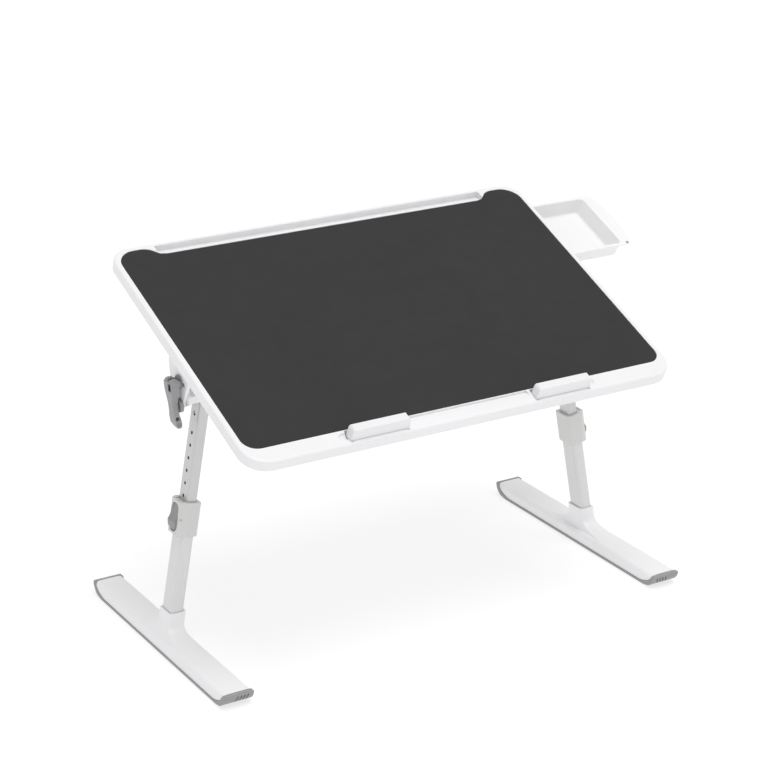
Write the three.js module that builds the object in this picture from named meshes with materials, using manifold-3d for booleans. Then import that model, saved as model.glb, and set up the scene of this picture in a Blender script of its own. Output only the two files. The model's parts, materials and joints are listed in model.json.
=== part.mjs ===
// A folding laptop stand: a tilting top with a side drawer, two flip-up stoppers and two telescopic legs.
// Millimetres, +X to the right, +Y to the back, +Z up. The drawer is pulled out and the top is tilted.
import * as THREE from 'three';
import { mergeVertices } from 'three/addons/utils/BufferGeometryUtils.js';
import Module from 'manifold-3d';

const wasm = await Module();
wasm.setup();

// Driving dimensions, in millimetres and degrees
const gap = 0.3; // between pieces that are fixed to each other
const run = 0.4; // between pieces that slide or turn on each other
const overrun = 2; // how far a cut runs past the face it opens
const weld = 0.0001;

const topWidth = 600;
const topDepth = 400;
const topEdge = 16;
const topFrontCorner = 32;
const topRearCorner = 27;
const topEdgeRound = 2.4;
const topTiltDeg = 22.58;

const sideRim = 7.2;
const frontRail = 24.2;
const rearRail = 22.8;
const earRim = 7.6;
const panelFrontCorner = 19;
const panelEarCorner = 26;
const earStepPlace = 235;
const earStepRun = 18;
const matDrop = 0.6;
const matThickness = 1.2;
const boardThickness = 9.6;
const ledgeWidth = 10;

const slotLength = 478;
const slotWidth = 15;
const slotDepth = 9;
const slotRearWall = 5.4;
const slotCorner = 2;

const stopperLength = 78;
const stopperInnerEnd = 90;
const stopperThickness = 11;
const stopperTopThickness = 9.5;
const stopperReach = 17.2;
const stopperFrontReach = 12;
const stopperTopChamfer = 1.2;
const stopperEndSlope = 4;
const stopperHeel = 2;
const pocketLip = 2;
const pocketRearWall = 0.9;
const pocketDepth = 13;
const hingeDepth = 2.2;
const trunnionRadius = 1.2;
const trunnionLength = 3;
const grooveLength = 172;
const grooveWidth = 9.5;
const grooveDepth = 3.2;
const scoopLength = 10;
const scoopDepth = 3.5;

const pivotHeight = 318;
const pivotUnderTop = 69;
const pivotBehindMiddle = -9.7;

const plateInset = 12; // from the top's side edge to the sector plate's outer face
const plateThickness = 4;
const plateHead = { front: -19.5, rear: 49.5 };
const plateWaist = { front: -11, frontUp: 6, rear: 35.5, rearUp: 13 };
const plateTipRadius = 12.5;
const flangeWidth = 44;
const flangeThickness = 3;
const slotRadius = 25; // of the sector's curved slot round the pivot
const slotHalfWidth = 3.4;
const tiltFlatDeg = 0;
const tiltSteepDeg = 36;
const slotEndSpareDeg = 3;

const pivotRadius = 4;
const pivotHeadRadius = 8;
const pivotHeadThickness = 4.3;
const nutThickness = 4.4;
const pivotNutRadius = 7;
const clampRadius = 3;
const clampNutRadius = 6;
const washerRadius = 9;
const washerThickness = 2.1;

const bracketThickness = 4;
const bracketFoot = 12;
const bracketShoulder = 18;
const bracketCrown = 12;
const earThickness = 3;
const earHalfHeight = 9.5;
const earInnerReach = 12;
const webThickness = 2.6;
const webReach = 15;
const stopThickness = 4;

const leverPinRadius = 1.9;
const leverPinOut = 7.1; // from the washer's outer face to the lever's pin
const leverHeadRadius = 6.3;
const leverOffset = 0.5; // how far the cam's round head stands off its pin
const leverLength = 59;
const leverHeadWidth = 20;
const leverTipWidth = 13;
const leverThickness = 9.4;
const leverTipRadius = 6;
const tongueHeight = 8;
const leverEyeRadius = 2.3;
const leverEyeUp = 8;

const splayDeg = 10.2;
const foldUp = 8; // from the tilt pivot up to the fold pin
const foldHeight = pivotHeight + foldUp;
const foldInset = 26.2; // from the bracket's outer face in to the fold pin
const foldPinRadius = 2.5;
const foldPinHead = 1.2;
const knuckleRadius = 7;
const neckLength = 30;

const innerTube = { x: 14, y: 23, corner: 3, wall: 1.2, top: 8.6, bottom: 219 };
const outerTube = { x: 17.5, y: 27, corner: 4, wall: 1.3, top: 141.4, floor: 8 };
const lockHoleRadius = 2.4;
const lockHolePitch = 16;
const lockHoleFirst = 21;
const lockHoleCount = 12;
const glideThickness = 3;
const glidePlug = 12;

const collarTop = 138;
const collarBottom = 181;
const collarIn = 10.2;
const collarFlank = 13;
const collarNose = 17.5;
const collarHalfWidth = 15.5;
const noseHalfWidth = 10;
const collarCorner = 3;
const collarCap = 3;
const rockerTop = 143.5;
const rockerBottom = 177.5;
const rockerTopHalfWidth = 5.6;
const rockerLowHalfWidth = 8;
const rockerPivotDown = 160;
const rockerPivotOut = 13;
const rockerFace = 15.6;
const rockerBulge = 24.5;
const rockerBulgeDown = 170;
const rockerHeel = 18.5;
const rockerBack = 11;
const rockerLowBack = 14.4;
const rockerPinRadius = 1.25;
const pegRadius = 2;
const pegDown = 149;
const springThickness = 0.4;
const springWidth = 9;
const springLength = 14;

const footLength = 368;
const footWidth = 40;
const footInReach = 23.557; // from the leg's axis, on the ground, in to the foot's inner edge
const footTop = 19;
const footTopRound = 3.5;
const soleThickness = 5;
const soleSide = 0.8; // how far the shell's sides stand in from the sole's
const tipRise = 17.6;
const tipRun = 17;
const tipThickness = 3.4;
const footWall = 3;
const cavityInner = 44;
const cavityOuter = 164;
const hubTop = 50;
const hubWall = 2.4;
const hubFlare = 46;
const slitWidth = 1.8;
const slitPitch = 5.2;
const slitCount = 4;
const slitHeight = 9;
const slitDepth = 1.2;

const drawerLength = 190;
const drawerOut = 117; // how far the drawer's bowed front stands out of the top's side
const drawerFromPlate = 19.7; // behind the sector plate's flange
const drawerFromRear = 31.5; // from the top's rear edge
const drawerDepth = 22;
const drawerSideDraftDeg = 7;
const drawerEndDraftDeg = 20;
const drawerDrop = 1;
const drawerWall = 2.2;
const drawerFloor = 1.8;
const drawerFlange = 2.5;
const drawerFlangeThickness = 2;
const drawerLip = 14;
const drawerBow = 7;
const drawerCorner = 9;
const drawerTravelIn = 115; // from where it is drawn to fully closed
const pipRadius = 2;
const pipHeight = 0.4;
const pipSet = 5.5;
const runnerLeg = 3;
const runnerLedge = 2;
const runnerLedgeThickness = 2.2;
const runnerOuter = 295;
const runnerHead = 8;
const stopLug = 3;

const screwRadius = 1.6;
const screwHeadRadius = 3.6;
const screwHeadThickness = 2;
const screwBite = 6; // how far a screw goes into the board
const screwFromPlate = 22;
const screwSpreadShare = 0.72; // of the flange's half length, from its middle
const spacerRadius = 5;
const runnerScrewShares = [0.14, 0.82];

const tiltSpread = THREE.MathUtils.degToRad(topTiltDeg);
const splay = THREE.MathUtils.degToRad(splayDeg);

// Materials
function paint(color, roughness, metalness = 0) {
  return new THREE.MeshStandardMaterial({ color, roughness, metalness });
}


const whitePlastic = paint(0xf2f2f3, 0.42);
const greyPlastic = paint(0x9b9b9e, 0.5);
const collarPlastic = paint(0xd2d2d2, 0.45);
const solePlastic = paint(0x8d8d90, 0.6);
const darkMat = paint(0x434143, 0.85);
const woodBoard = paint(0xe4e2de, 0.7);
const tubePaint = paint(0xe2e2e6, 0.35, 0.2);
const steel = paint(0xb9bbbd, 0.35, 0.9);

// Solids: closed three.js meshes that are joined and cut
function solid(geometry) {
  const bare = geometry.clone();
  bare.deleteAttribute('normal');
  bare.deleteAttribute('uv');
  const merged = mergeVertices(bare, weld);
  const vertProperties = Float32Array.from(merged.attributes.position.array);
  const triVerts = Uint32Array.from(merged.index.array);
  return new wasm.Manifold(new wasm.Mesh({ numProp: 3, vertProperties, triVerts }));
}

function geometryOf(manifold) {
  const mesh = manifold.getMesh();
  const geometry = new THREE.BufferGeometry();
  geometry.setAttribute('position', new THREE.BufferAttribute(Float32Array.from(mesh.vertProperties), 3));
  geometry.setIndex(new THREE.BufferAttribute(Uint32Array.from(mesh.triVerts), 1));
  geometry.computeVertexNormals();
  return geometry;
}

const join = (...solids) => solids.reduce((whole, next) => whole.add(next));
const cut = (whole, ...tools) => tools.reduce((rest, tool) => rest.subtract(tool), whole);

const alongX = new THREE.Matrix4().makeBasis(
  new THREE.Vector3(0, 1, 0), new THREE.Vector3(0, 0, 1), new THREE.Vector3(1, 0, 0));
const alongY = new THREE.Matrix4().makeBasis(
  new THREE.Vector3(1, 0, 0), new THREE.Vector3(0, 0, 1), new THREE.Vector3(0, -1, 0));

// A flat outline made thick: along Z, along X (outline in Y and Z) or along Y (outline in X and Z)
function extruded(shape, thickness, curveSegments = 8) {
  return new THREE.ExtrudeGeometry(shape, { depth: thickness, bevelEnabled: false, curveSegments });
}

function slabZ(shape, low, high, curveSegments = 6) {
  return solid(extruded(shape, high - low, curveSegments).translate(0, 0, low));
}

function slabX(shape, low, high, curveSegments) {
  return solid(extruded(shape, high - low, curveSegments).applyMatrix4(alongX).translate(low, 0, 0));
}

function slabY(shape, low, high, curveSegments) {
  return solid(extruded(shape, high - low, curveSegments).applyMatrix4(alongY).translate(0, high, 0));
}

function block(x0, x1, y0, y1, z0, z1) {
  const box = new THREE.BoxGeometry(x1 - x0, y1 - y0, z1 - z0);
  return solid(box.translate((x0 + x1) / 2, (y0 + y1) / 2, (z0 + z1) / 2));
}

function rodX(radius, x0, x1, y, z, sides = 20) {
  const rod = new THREE.CylinderGeometry(radius, radius, x1 - x0, sides);
  return solid(rod.rotateZ(-Math.PI / 2).translate((x0 + x1) / 2, y, z));
}

function rodY(radius, y0, y1, x, z, sides = 20) {
  const rod = new THREE.CylinderGeometry(radius, radius, y1 - y0, sides);
  return solid(rod.translate(x, (y0 + y1) / 2, z));
}

function rodZ(radius, z0, z1, x, y, sides = 20) {
  const rod = new THREE.CylinderGeometry(radius, radius, z1 - z0, sides);
  return solid(rod.rotateX(Math.PI / 2).translate(x, y, (z0 + z1) / 2));
}

function polygon(points) {
  return new THREE.Shape(points.map(([x, y]) => new THREE.Vector2(x, y)));
}

function roundedBox(x0, x1, y0, y1, corner, farCorner = corner) {
  const shape = new THREE.Shape();
  shape.moveTo(x0 + corner, y0);
  shape.lineTo(x1 - corner, y0);
  shape.absarc(x1 - corner, y0 + corner, corner, -Math.PI / 2, 0);
  shape.absarc(x1 - farCorner, y1 - farCorner, farCorner, 0, Math.PI / 2);
  shape.absarc(x0 + farCorner, y1 - farCorner, farCorner, Math.PI / 2, Math.PI);
  shape.absarc(x0 + corner, y0 + corner, corner, Math.PI, Math.PI * 3 / 2);
  return shape;
}

// The assembly
const stand = new THREE.Group();

function add(parent, name, shape, material) {
  const mesh = new THREE.Mesh(shape.isBufferGeometry ? shape : geometryOf(shape), material);
  mesh.name = name;
  parent.add(mesh);
}

// Pieces of the legs are drawn for the right side; the left ones are their mirror images
const sides = [{ name: 'left', sign: -1 }, { name: 'right', sign: 1 }];

function handed(manifold, sign) {
  const geometry = geometryOf(manifold);
  if (sign > 0) return geometry;
  const position = geometry.attributes.position;
  for (let i = 0; i < position.count; i += 1) position.setX(i, -position.getX(i));
  const index = geometry.index.array;
  for (let i = 0; i < index.length; i += 3) [index[i], index[i + 1]] = [index[i + 1], index[i]];
  geometry.computeVertexNormals();
  return geometry;
}

// The top is drawn flat, with its upper face at 0 and its middle at the origin, and hangs in a tilted group
const tilted = new THREE.Group();
tilted.position.set(0, 0, pivotHeight);
tilted.rotation.x = tiltSpread;
const top = new THREE.Group();
top.position.set(0, -pivotBehindMiddle, pivotUnderTop);
tilted.add(top);
stand.add(tilted);

const halfTop = topWidth / 2;
const frontEdge = -topDepth / 2;
const rearEdge = topDepth / 2;
const boardTop = -matDrop - matThickness - gap;
const boardUnder = boardTop - boardThickness;
const ledgeTop = boardUnder - gap;

// The outline that the mat, the board and the frame's recess share, made larger by grow
function panelOutline(grow) {
  const half = halfTop - sideRim + grow;
  const front = frontEdge + frontRail - grow;
  const rear = rearEdge - rearRail + grow;
  const ear = rearEdge - earRim + grow;
  const front2 = panelFrontCorner + grow;
  const ear2 = panelEarCorner + grow;
  const step = earStepPlace - grow;
  const stepMiddle = step + earStepRun / 2;
  const shape = new THREE.Shape();
  shape.moveTo(-half + front2, front);
  shape.lineTo(half - front2, front);
  shape.absarc(half - front2, front + front2, front2, -Math.PI / 2, 0);
  shape.absarc(half - ear2, ear - ear2, ear2, 0, Math.PI / 2);
  shape.lineTo(step + earStepRun, ear);
  shape.bezierCurveTo(stepMiddle, ear, stepMiddle, rear, step, rear);
  shape.lineTo(-step, rear);
  shape.bezierCurveTo(-stepMiddle, rear, -stepMiddle, ear, -step - earStepRun, ear);
  shape.absarc(-half + ear2, ear - ear2, ear2, Math.PI / 2, Math.PI);
  shape.absarc(-half + front2, front + front2, front2, Math.PI, Math.PI * 3 / 2);
  return shape;
}

// Stopper hinge, in the top's own frame
const pocketFront = frontEdge + pocketLip;
const pocketRear = frontEdge + frontRail - gap - pocketRearWall;
const hingeY = pocketFront + gap + stopperHeel;
const hingeZ = -hingeDepth;
const stopperOuterEnd = stopperInnerEnd + stopperLength;

function makeFrame() {
  const outline = roundedBox(-halfTop, halfTop, frontEdge, rearEdge, topFrontCorner, topRearCorner);
  const body = solid(new THREE.ExtrudeGeometry(outline, {
    depth: topEdge - 2 * topEdgeRound, bevelThickness: topEdgeRound, bevelSize: topEdgeRound,
    bevelOffset: -topEdgeRound, bevelSegments: 2, curveSegments: 7,
  }).translate(0, 0, topEdgeRound - topEdge));
  const recess = slabZ(panelOutline(gap), ledgeTop, overrun);
  const window = slabZ(panelOutline(-ledgeWidth), -topEdge - overrun, ledgeTop + overrun);
  const slotRear = rearEdge - slotRearWall;
  const slotOutline = roundedBox(-slotLength / 2, slotLength / 2, slotRear - slotWidth, slotRear, slotCorner);
  const slot = slabZ(slotOutline, -slotDepth, overrun, 4);
  const groove = slabX(polygon([
    [pocketRear, -grooveDepth], [pocketRear, overrun], [pocketRear - grooveWidth, overrun],
    [pocketRear - grooveWidth, 0],
  ]), -grooveLength / 2, grooveLength / 2);
  const cuts = [recess, window, slot, groove];
  for (const { sign } of sides) {
    const inner = sign * (stopperInnerEnd - run);
    const outer = sign * (stopperOuterEnd + run);
    const [low, high] = sign > 0 ? [inner, outer] : [outer, inner];
    cuts.push(block(low, high, pocketFront, pocketRear, -pocketDepth, overrun));
    cuts.push(rodX(
      trunnionRadius + gap, low - trunnionLength - gap, high + trunnionLength + gap, hingeY, hingeZ, 12));
    const scoopFar = outer + sign * scoopLength;
    const scoopMiddle = (pocketFront + pocketRear) / 2;
    const scoop = polygon([[outer, -scoopDepth], [scoopFar, 0], [scoopFar, overrun], [outer, overrun]]);
    cuts.push(slabY(scoop, scoopMiddle - scoopLength / 2, scoopMiddle + scoopLength / 2));
  }
  const holes = runnerScrewSpots(true).map(([x, y]) => screwHole(x, y));
  return cut(body, ...cuts, ...holes);
}

// A stopper, drawn upright with its hinge line at the origin
function makeStopper() {
  const front = -stopperHeel;
  const rear = stopperThickness - stopperHeel;
  const topRear = stopperTopThickness - stopperHeel;
  const profile = new THREE.Shape();
  profile.moveTo(0, -stopperHeel);
  profile.lineTo(rear, -stopperHeel);
  profile.lineTo(topRear, stopperReach - stopperTopChamfer);
  profile.lineTo(topRear - stopperTopChamfer, stopperReach);
  profile.lineTo(topRear / 2, stopperReach);
  profile.lineTo(front, stopperFrontReach);
  profile.lineTo(front, 0);
  profile.absarc(0, 0, stopperHeel, Math.PI, Math.PI * 3 / 2);
  const length = slabX(profile, -stopperLength / 2, stopperLength / 2, 4);
  const face = polygon([
    [-stopperLength / 2, -stopperHeel - overrun], [stopperLength / 2, -stopperHeel - overrun],
    [stopperLength / 2, stopperFrontReach], [stopperLength / 2 - stopperEndSlope, stopperReach + overrun],
    [stopperEndSlope - stopperLength / 2, stopperReach + overrun], [-stopperLength / 2, stopperFrontReach],
  ]);
  const body = length.intersect(slabY(face, -stopperThickness, stopperThickness));
  const trunnionEnd = stopperLength / 2 + run + trunnionLength;
  return join(body, rodX(trunnionRadius, -trunnionEnd, trunnionEnd, 0, 0, 12));
}

const plateOuter = halfTop - plateInset;
const plateInner = plateOuter - plateThickness;
const flangeTop = -topEdge - gap;
const flangeBottom = flangeTop - flangeThickness;
const flangeMiddle = pivotBehindMiddle + (plateHead.front + plateHead.rear) / 2;
const flangeHalf = (plateHead.rear - plateHead.front) / 2;
const screwPlaces = [-1, 1].map((end) => flangeMiddle + end * screwSpreadShare * flangeHalf);
const screwRows = [plateOuter - screwFromPlate, plateOuter - flangeWidth + spacerRadius + gap];

const screwTip = boardUnder + screwBite;

// A screw goes up into the board from under what it holds
function screw(x, y, under) {
  return join(
    rodZ(screwRadius, under - weld, screwTip, x, y, 8),
    rodZ(screwHeadRadius, under - screwHeadThickness, under, x, y, 12));
}

const screwHole = (x, y) => rodZ(screwRadius + gap, -topEdge * 2, screwTip + gap, x, y, 8);

function sectorScrewSpots() {
  return screwRows.flatMap((x) => screwPlaces.map((y) => [x, y]));
}

// A sector plate hangs under the top and carries the pivot at its tip and the clamp's curved slot
function makeSector() {
  const pivot = [pivotBehindMiddle, -pivotUnderTop];
  const from = (y, z) => [pivot[0] + y, pivot[1] + z];
  const plate = new THREE.Shape();
  plate.moveTo(...from(plateHead.front, pivotUnderTop + flangeTop));
  plate.lineTo(...from(plateWaist.front, plateWaist.frontUp));
  plate.absarc(pivot[0], pivot[1], plateTipRadius, Math.PI * 5 / 6, Math.PI * 2 - Math.PI / 8);
  plate.lineTo(...from(plateWaist.rear, plateWaist.rearUp));
  plate.lineTo(...from(plateHead.rear, pivotUnderTop + flangeTop));
  const slot = new THREE.Shape();
  const spare = THREE.MathUtils.degToRad(slotEndSpareDeg);
  const high = Math.PI / 2 - THREE.MathUtils.degToRad(tiltFlatDeg) + spare;
  const low = Math.PI / 2 - THREE.MathUtils.degToRad(tiltSteepDeg) - spare;
  slot.absarc(pivot[0], pivot[1], slotRadius + slotHalfWidth, low, high);
  slot.absarc(
    pivot[0] + slotRadius * Math.cos(high), pivot[1] + slotRadius * Math.sin(high),
    slotHalfWidth, high, high + Math.PI);
  slot.absarc(pivot[0], pivot[1], slotRadius - slotHalfWidth, high, low, true);
  slot.absarc(
    pivot[0] + slotRadius * Math.cos(low), pivot[1] + slotRadius * Math.sin(low),
    slotHalfWidth, low + Math.PI, low + Math.PI * 2);
  const flange = block(
    plateOuter - flangeWidth, plateOuter, flangeMiddle - flangeHalf, flangeMiddle + flangeHalf,
    flangeBottom, flangeTop);
  let body = join(slabX(plate, plateInner, plateOuter, 10), flange);
  for (const [x, y] of sectorScrewSpots()) {
    body = join(body, rodZ(spacerRadius, flangeBottom, boardUnder - gap, x, y, 10));
  }
  for (const [x, y] of sectorScrewSpots()) {
    body = cut(body, screwHole(x, y));
  }
  return cut(
    body,
    slabX(slot, plateInner - overrun, plateOuter + overrun, 8),
    rodX(pivotRadius + gap, plateInner - overrun, plateOuter + overrun, ...pivot, 20));
}

// The drawer rides on its side flanges in two runners under the right half of the top
const drawerTop = -topEdge - drawerDrop;
const drawerRear = rearEdge - drawerFromRear;
const drawerFront = flangeMiddle + flangeHalf + drawerFromPlate;
const drawerTip = halfTop + drawerOut;
const drawerHeel = drawerTip - drawerLength;
const runnerInner = drawerHeel - drawerTravelIn - gap - stopLug;
const wallFront = drawerFront + drawerFlange;
const wallRear = drawerRear - drawerFlange;

function bowedOutline(heel, front, rear, tip, bow, corner) {
  const middle = (front + rear) / 2;
  const shape = new THREE.Shape();
  shape.moveTo(heel, front);
  shape.lineTo(tip - bow - corner, front);
  shape.quadraticCurveTo(tip - bow, front, tip - bow / 2, front + corner);
  shape.quadraticCurveTo(tip + bow / 2, middle, tip - bow / 2, rear - corner);
  shape.quadraticCurveTo(tip - bow, rear, tip - bow - corner, rear);
  shape.lineTo(heel, rear);
  return shape;
}

// A tub's outer or inner form: its rounded outline at the drawer's top narrows downwards by the drafts
function tubForm(x0, x1, y0, y1, corner, low, high) {
  const geometry = extruded(roundedBox(x0, x1, y0, y1, corner), high - low, 5).translate(0, 0, low);
  const position = geometry.attributes.position;
  const side = Math.tan(THREE.MathUtils.degToRad(drawerSideDraftDeg));
  const end = Math.tan(THREE.MathUtils.degToRad(drawerEndDraftDeg));
  for (let i = 0; i < position.count; i += 1) {
    const down = drawerTop - position.getZ(i);
    const alongShare = (position.getX(i) - x0) / (x1 - x0);
    const acrossShare = (position.getY(i) - y0) / (y1 - y0);
    position.setX(i, x0 + side * down + alongShare * (x1 - x0 - (side + end) * down));
    position.setY(i, y0 + side * down + acrossShare * (y1 - y0 - 2 * side * down));
  }
  return solid(geometry);
}

function makeDrawer() {
  const flange = slabZ(
    bowedOutline(drawerHeel, drawerFront, drawerRear, drawerTip, drawerBow, drawerCorner),
    drawerTop - drawerFlangeThickness, drawerTop, 6);
  const cavityEnd = drawerTip - drawerBow - drawerLip;
  const tub = tubForm(
    drawerHeel, cavityEnd + drawerWall, wallFront, wallRear, drawerCorner,
    drawerTop - drawerDepth, drawerTop - drawerFlangeThickness + weld);
  const cavity = tubForm(
    drawerHeel + drawerWall, cavityEnd, wallFront + drawerWall, wallRear - drawerWall,
    drawerCorner - drawerWall, drawerTop - drawerDepth + drawerFloor, drawerTop + overrun);
  return cut(join(flange, tub), cavity);
}

function makePip() {
  const x = drawerTip - drawerBow - pipSet;
  return rodZ(pipRadius, drawerTop + gap, drawerTop + gap + pipHeight, x, drawerFront + pipSet / 2, 12);
}

// The front runner reaches up through the frame to the board; the rear one lies under the frame's rear rail
const runnerSeat = (rear) => (rear ? -topEdge : boardUnder) - gap;

function makeRunner(rear) {
  const out = rear ? 1 : -1;
  const edge = rear ? drawerRear : drawerFront;
  const wallFace = edge + out * run;
  const wallFar = wallFace + out * runnerLeg;
  const ledgeHigh = drawerTop - drawerFlangeThickness - run;
  const ledgeLow = ledgeHigh - runnerLedgeThickness;
  const ledgeFar = edge - out * runnerLedge;
  const headFar = wallFar + out * runnerHead;
  const windowEdge = halfTop - sideRim - ledgeWidth - gap;
  const seat = runnerSeat(rear);
  const rail = slabX(polygon([
    [wallFar, ledgeLow], [ledgeFar, ledgeLow], [ledgeFar, ledgeHigh], [wallFace, ledgeHigh],
    [wallFace, -topEdge - gap], [wallFar, -topEdge - gap],
  ]), runnerInner, runnerOuter);
  const foot = slabX(polygon([
    [wallFar, ledgeHigh], [wallFace, ledgeHigh], [wallFace, seat], [headFar, seat],
    [headFar, seat - runnerLeg], [wallFar, seat - runnerLeg],
  ]), runnerInner, windowEdge);
  const lug = slabX(polygon([
    [wallFar, ledgeLow], [ledgeFar, ledgeLow], [ledgeFar, -topEdge - gap], [wallFar, -topEdge - gap],
  ]), runnerInner, runnerInner + stopLug);
  return cut(join(rail, foot, lug), ...runnerScrewSpots(rear).map(([x, y]) => screwHole(x, y)));
}

function runnerScrewSpots(rear) {
  const out = rear ? 1 : -1;
  const y = (rear ? drawerRear : drawerFront) + out * (run + runnerLeg + runnerHead / 2);
  const length = halfTop - sideRim - ledgeWidth - gap - runnerInner;
  return runnerScrewShares.map((share) => [runnerInner + share * length, y]);
}

const runnerScrews = [false, true].flatMap(
  (rear) => runnerScrewSpots(rear).map(([x, y]) => ({ x, y, rear })));

function makeBoard() {
  let board = slabZ(panelOutline(0), boardUnder, boardTop);
  for (const { sign } of sides) {
    for (const [x, y] of sectorScrewSpots()) board = cut(board, screwHole(sign * x, y));
  }
  for (const { x, y } of runnerScrews) board = cut(board, screwHole(x, y));
  return board;
}

add(top, 'desk_frame', makeFrame(), whitePlastic);
add(top, 'desk_board', makeBoard(), woodBoard);
add(top, 'desk_mat', slabZ(panelOutline(0), -matDrop - matThickness, -matDrop), darkMat);
for (const { name, sign } of sides) {
  add(top, `sector_plate_${name}`, handed(makeSector(), sign), whitePlastic);
  const hinge = new THREE.Group();
  hinge.position.set(sign * (stopperInnerEnd + stopperLength / 2), hingeY, hingeZ);
  top.add(hinge);
  add(hinge, `stopper_${name}`, makeStopper(), whitePlastic);
  sectorScrewSpots().forEach(([x, y], i) => add(
    top, `sector_screw_${name}_${i + 1}`,
    screw(sign * x, y, flangeBottom - gap), steel));
}
add(top, 'drawer_runner_front', makeRunner(false), whitePlastic);
add(top, 'drawer_runner_rear', makeRunner(true), whitePlastic);
runnerScrews.forEach(({ x, y, rear }, i) => add(
  top, `runner_screw_${i + 1}`, screw(x, y, runnerSeat(rear) - runnerLeg - gap), steel));
add(top, 'drawer_tray', makeDrawer(), whitePlastic);
add(top, 'drawer_pip', makePip(), greyPlastic);

// The tilt bracket and its clamp stand upright, so they are drawn round the pivot in the stand's own axes
const uprightOuter = plateInner - gap;
const uprightInner = uprightOuter - bracketThickness;
const foldPlace = uprightOuter - foldInset;
const earInnerFace = innerTube.y / 2 + run * 2;
const earOuterFace = earInnerFace + earThickness;
const washerInner = plateOuter + gap;
const washerOuter = washerInner + washerThickness;
const leverPinPlace = washerOuter + leverPinOut;

// Turns and moves a solid from the leg's own frame, drawn with the leg straight, to the stand's
function splayed(manifold, up = foldHeight) {
  const geometry = geometryOf(manifold);
  return solid(geometry.rotateY(-splay).translate(foldPlace, 0, up));
}

function makeBracket() {
  const half = earOuterFace;
  const upright = new THREE.Shape();
  upright.moveTo(-half, -bracketFoot + bracketFoot / 2);
  upright.lineTo(-half / 2, -bracketFoot);
  upright.lineTo(half / 2, -bracketFoot);
  upright.lineTo(half, -bracketFoot + bracketFoot / 2);
  upright.lineTo(half, bracketShoulder);
  upright.absarc(0, slotRadius, bracketCrown, 0, Math.PI);
  upright.lineTo(-half, bracketShoulder);
  const plate = slabX(upright, uprightInner, uprightOuter, 8);
  const reach = (uprightOuter - foldPlace) / Math.cos(splay) - gap;
  const arm = new THREE.Shape();
  arm.moveTo(-earInnerReach, -earHalfHeight / 2);
  arm.lineTo(-earInnerReach + earHalfHeight / 2, -earHalfHeight);
  arm.lineTo(reach, -earHalfHeight);
  arm.lineTo(reach, earHalfHeight);
  arm.lineTo(-earInnerReach + earHalfHeight / 2, earHalfHeight);
  arm.lineTo(-earInnerReach, earHalfHeight / 2);
  const webTop = earHalfHeight + webThickness;
  const web = block(-earInnerReach / 2, webReach, -earOuterFace, earOuterFace, earHalfHeight - weld, webTop);
  const stopFace = knuckleRadius + gap;
  const stop = block(
    stopFace, stopFace + stopThickness, -earOuterFace, earOuterFace, -earHalfHeight, earHalfHeight);
  const arms = join(
    slabY(arm, -earOuterFace, -earInnerFace), slabY(arm, earInnerFace, earOuterFace), web, stop);
  const kept = splayed(arms, foldUp).intersect(
    block(0, uprightOuter, -topDepth, topDepth, -pivotHeight, pivotHeight));
  return cut(
    join(plate, kept),
    rodX(pivotRadius + gap, uprightInner - overrun, uprightOuter + overrun, 0, 0, 20),
    rodX(clampRadius + gap, uprightInner - overrun, uprightOuter + overrun, 0, slotRadius, 16),
    splayed(rodY(foldPinRadius + gap, -half - overrun, half + overrun, 0, 0, 16), foldUp));
}

function makePivotBolt() {
  const head = plateOuter + gap;
  const nut = uprightInner - gap;
  return join(
    rodX(pivotRadius, nut - nutThickness, head + weld, 0, 0, 20),
    rodX(pivotHeadRadius, head, head + pivotHeadThickness, 0, 0, 24),
    rodX(pivotNutRadius, nut - nutThickness, nut, 0, 0, 6));
}

function makeClampBolt() {
  const nut = uprightInner - gap;
  const tongueEnd = leverPinPlace + tongueHeight / 2;
  const tongueStart = washerOuter + gap;
  const tongue = roundedBox(
    tongueStart, tongueEnd, slotRadius - tongueHeight / 2, slotRadius + tongueHeight / 2, tongueHeight / 3);
  const bolt = join(
    rodX(clampRadius, nut - nutThickness - overrun, tongueStart + clampRadius, 0, slotRadius, 16),
    slabY(tongue, -clampRadius, clampRadius, 5));
  return cut(bolt, rodY(leverPinRadius + gap, -tongueHeight, tongueHeight, leverPinPlace, slotRadius, 14));
}

function makeClampNut() {
  const nut = uprightInner - gap;
  return cut(
    rodX(clampNutRadius, nut - nutThickness, nut, 0, slotRadius, 6),
    rodX(clampRadius + gap, nut - nutThickness - overrun, nut + overrun, 0, slotRadius, 16));
}

function makeWasher() {
  return cut(
    rodX(washerRadius, washerInner, washerOuter, 0, slotRadius, 24),
    rodX(clampRadius + gap, washerInner - overrun, washerOuter + overrun, 0, slotRadius, 16));
}

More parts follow.
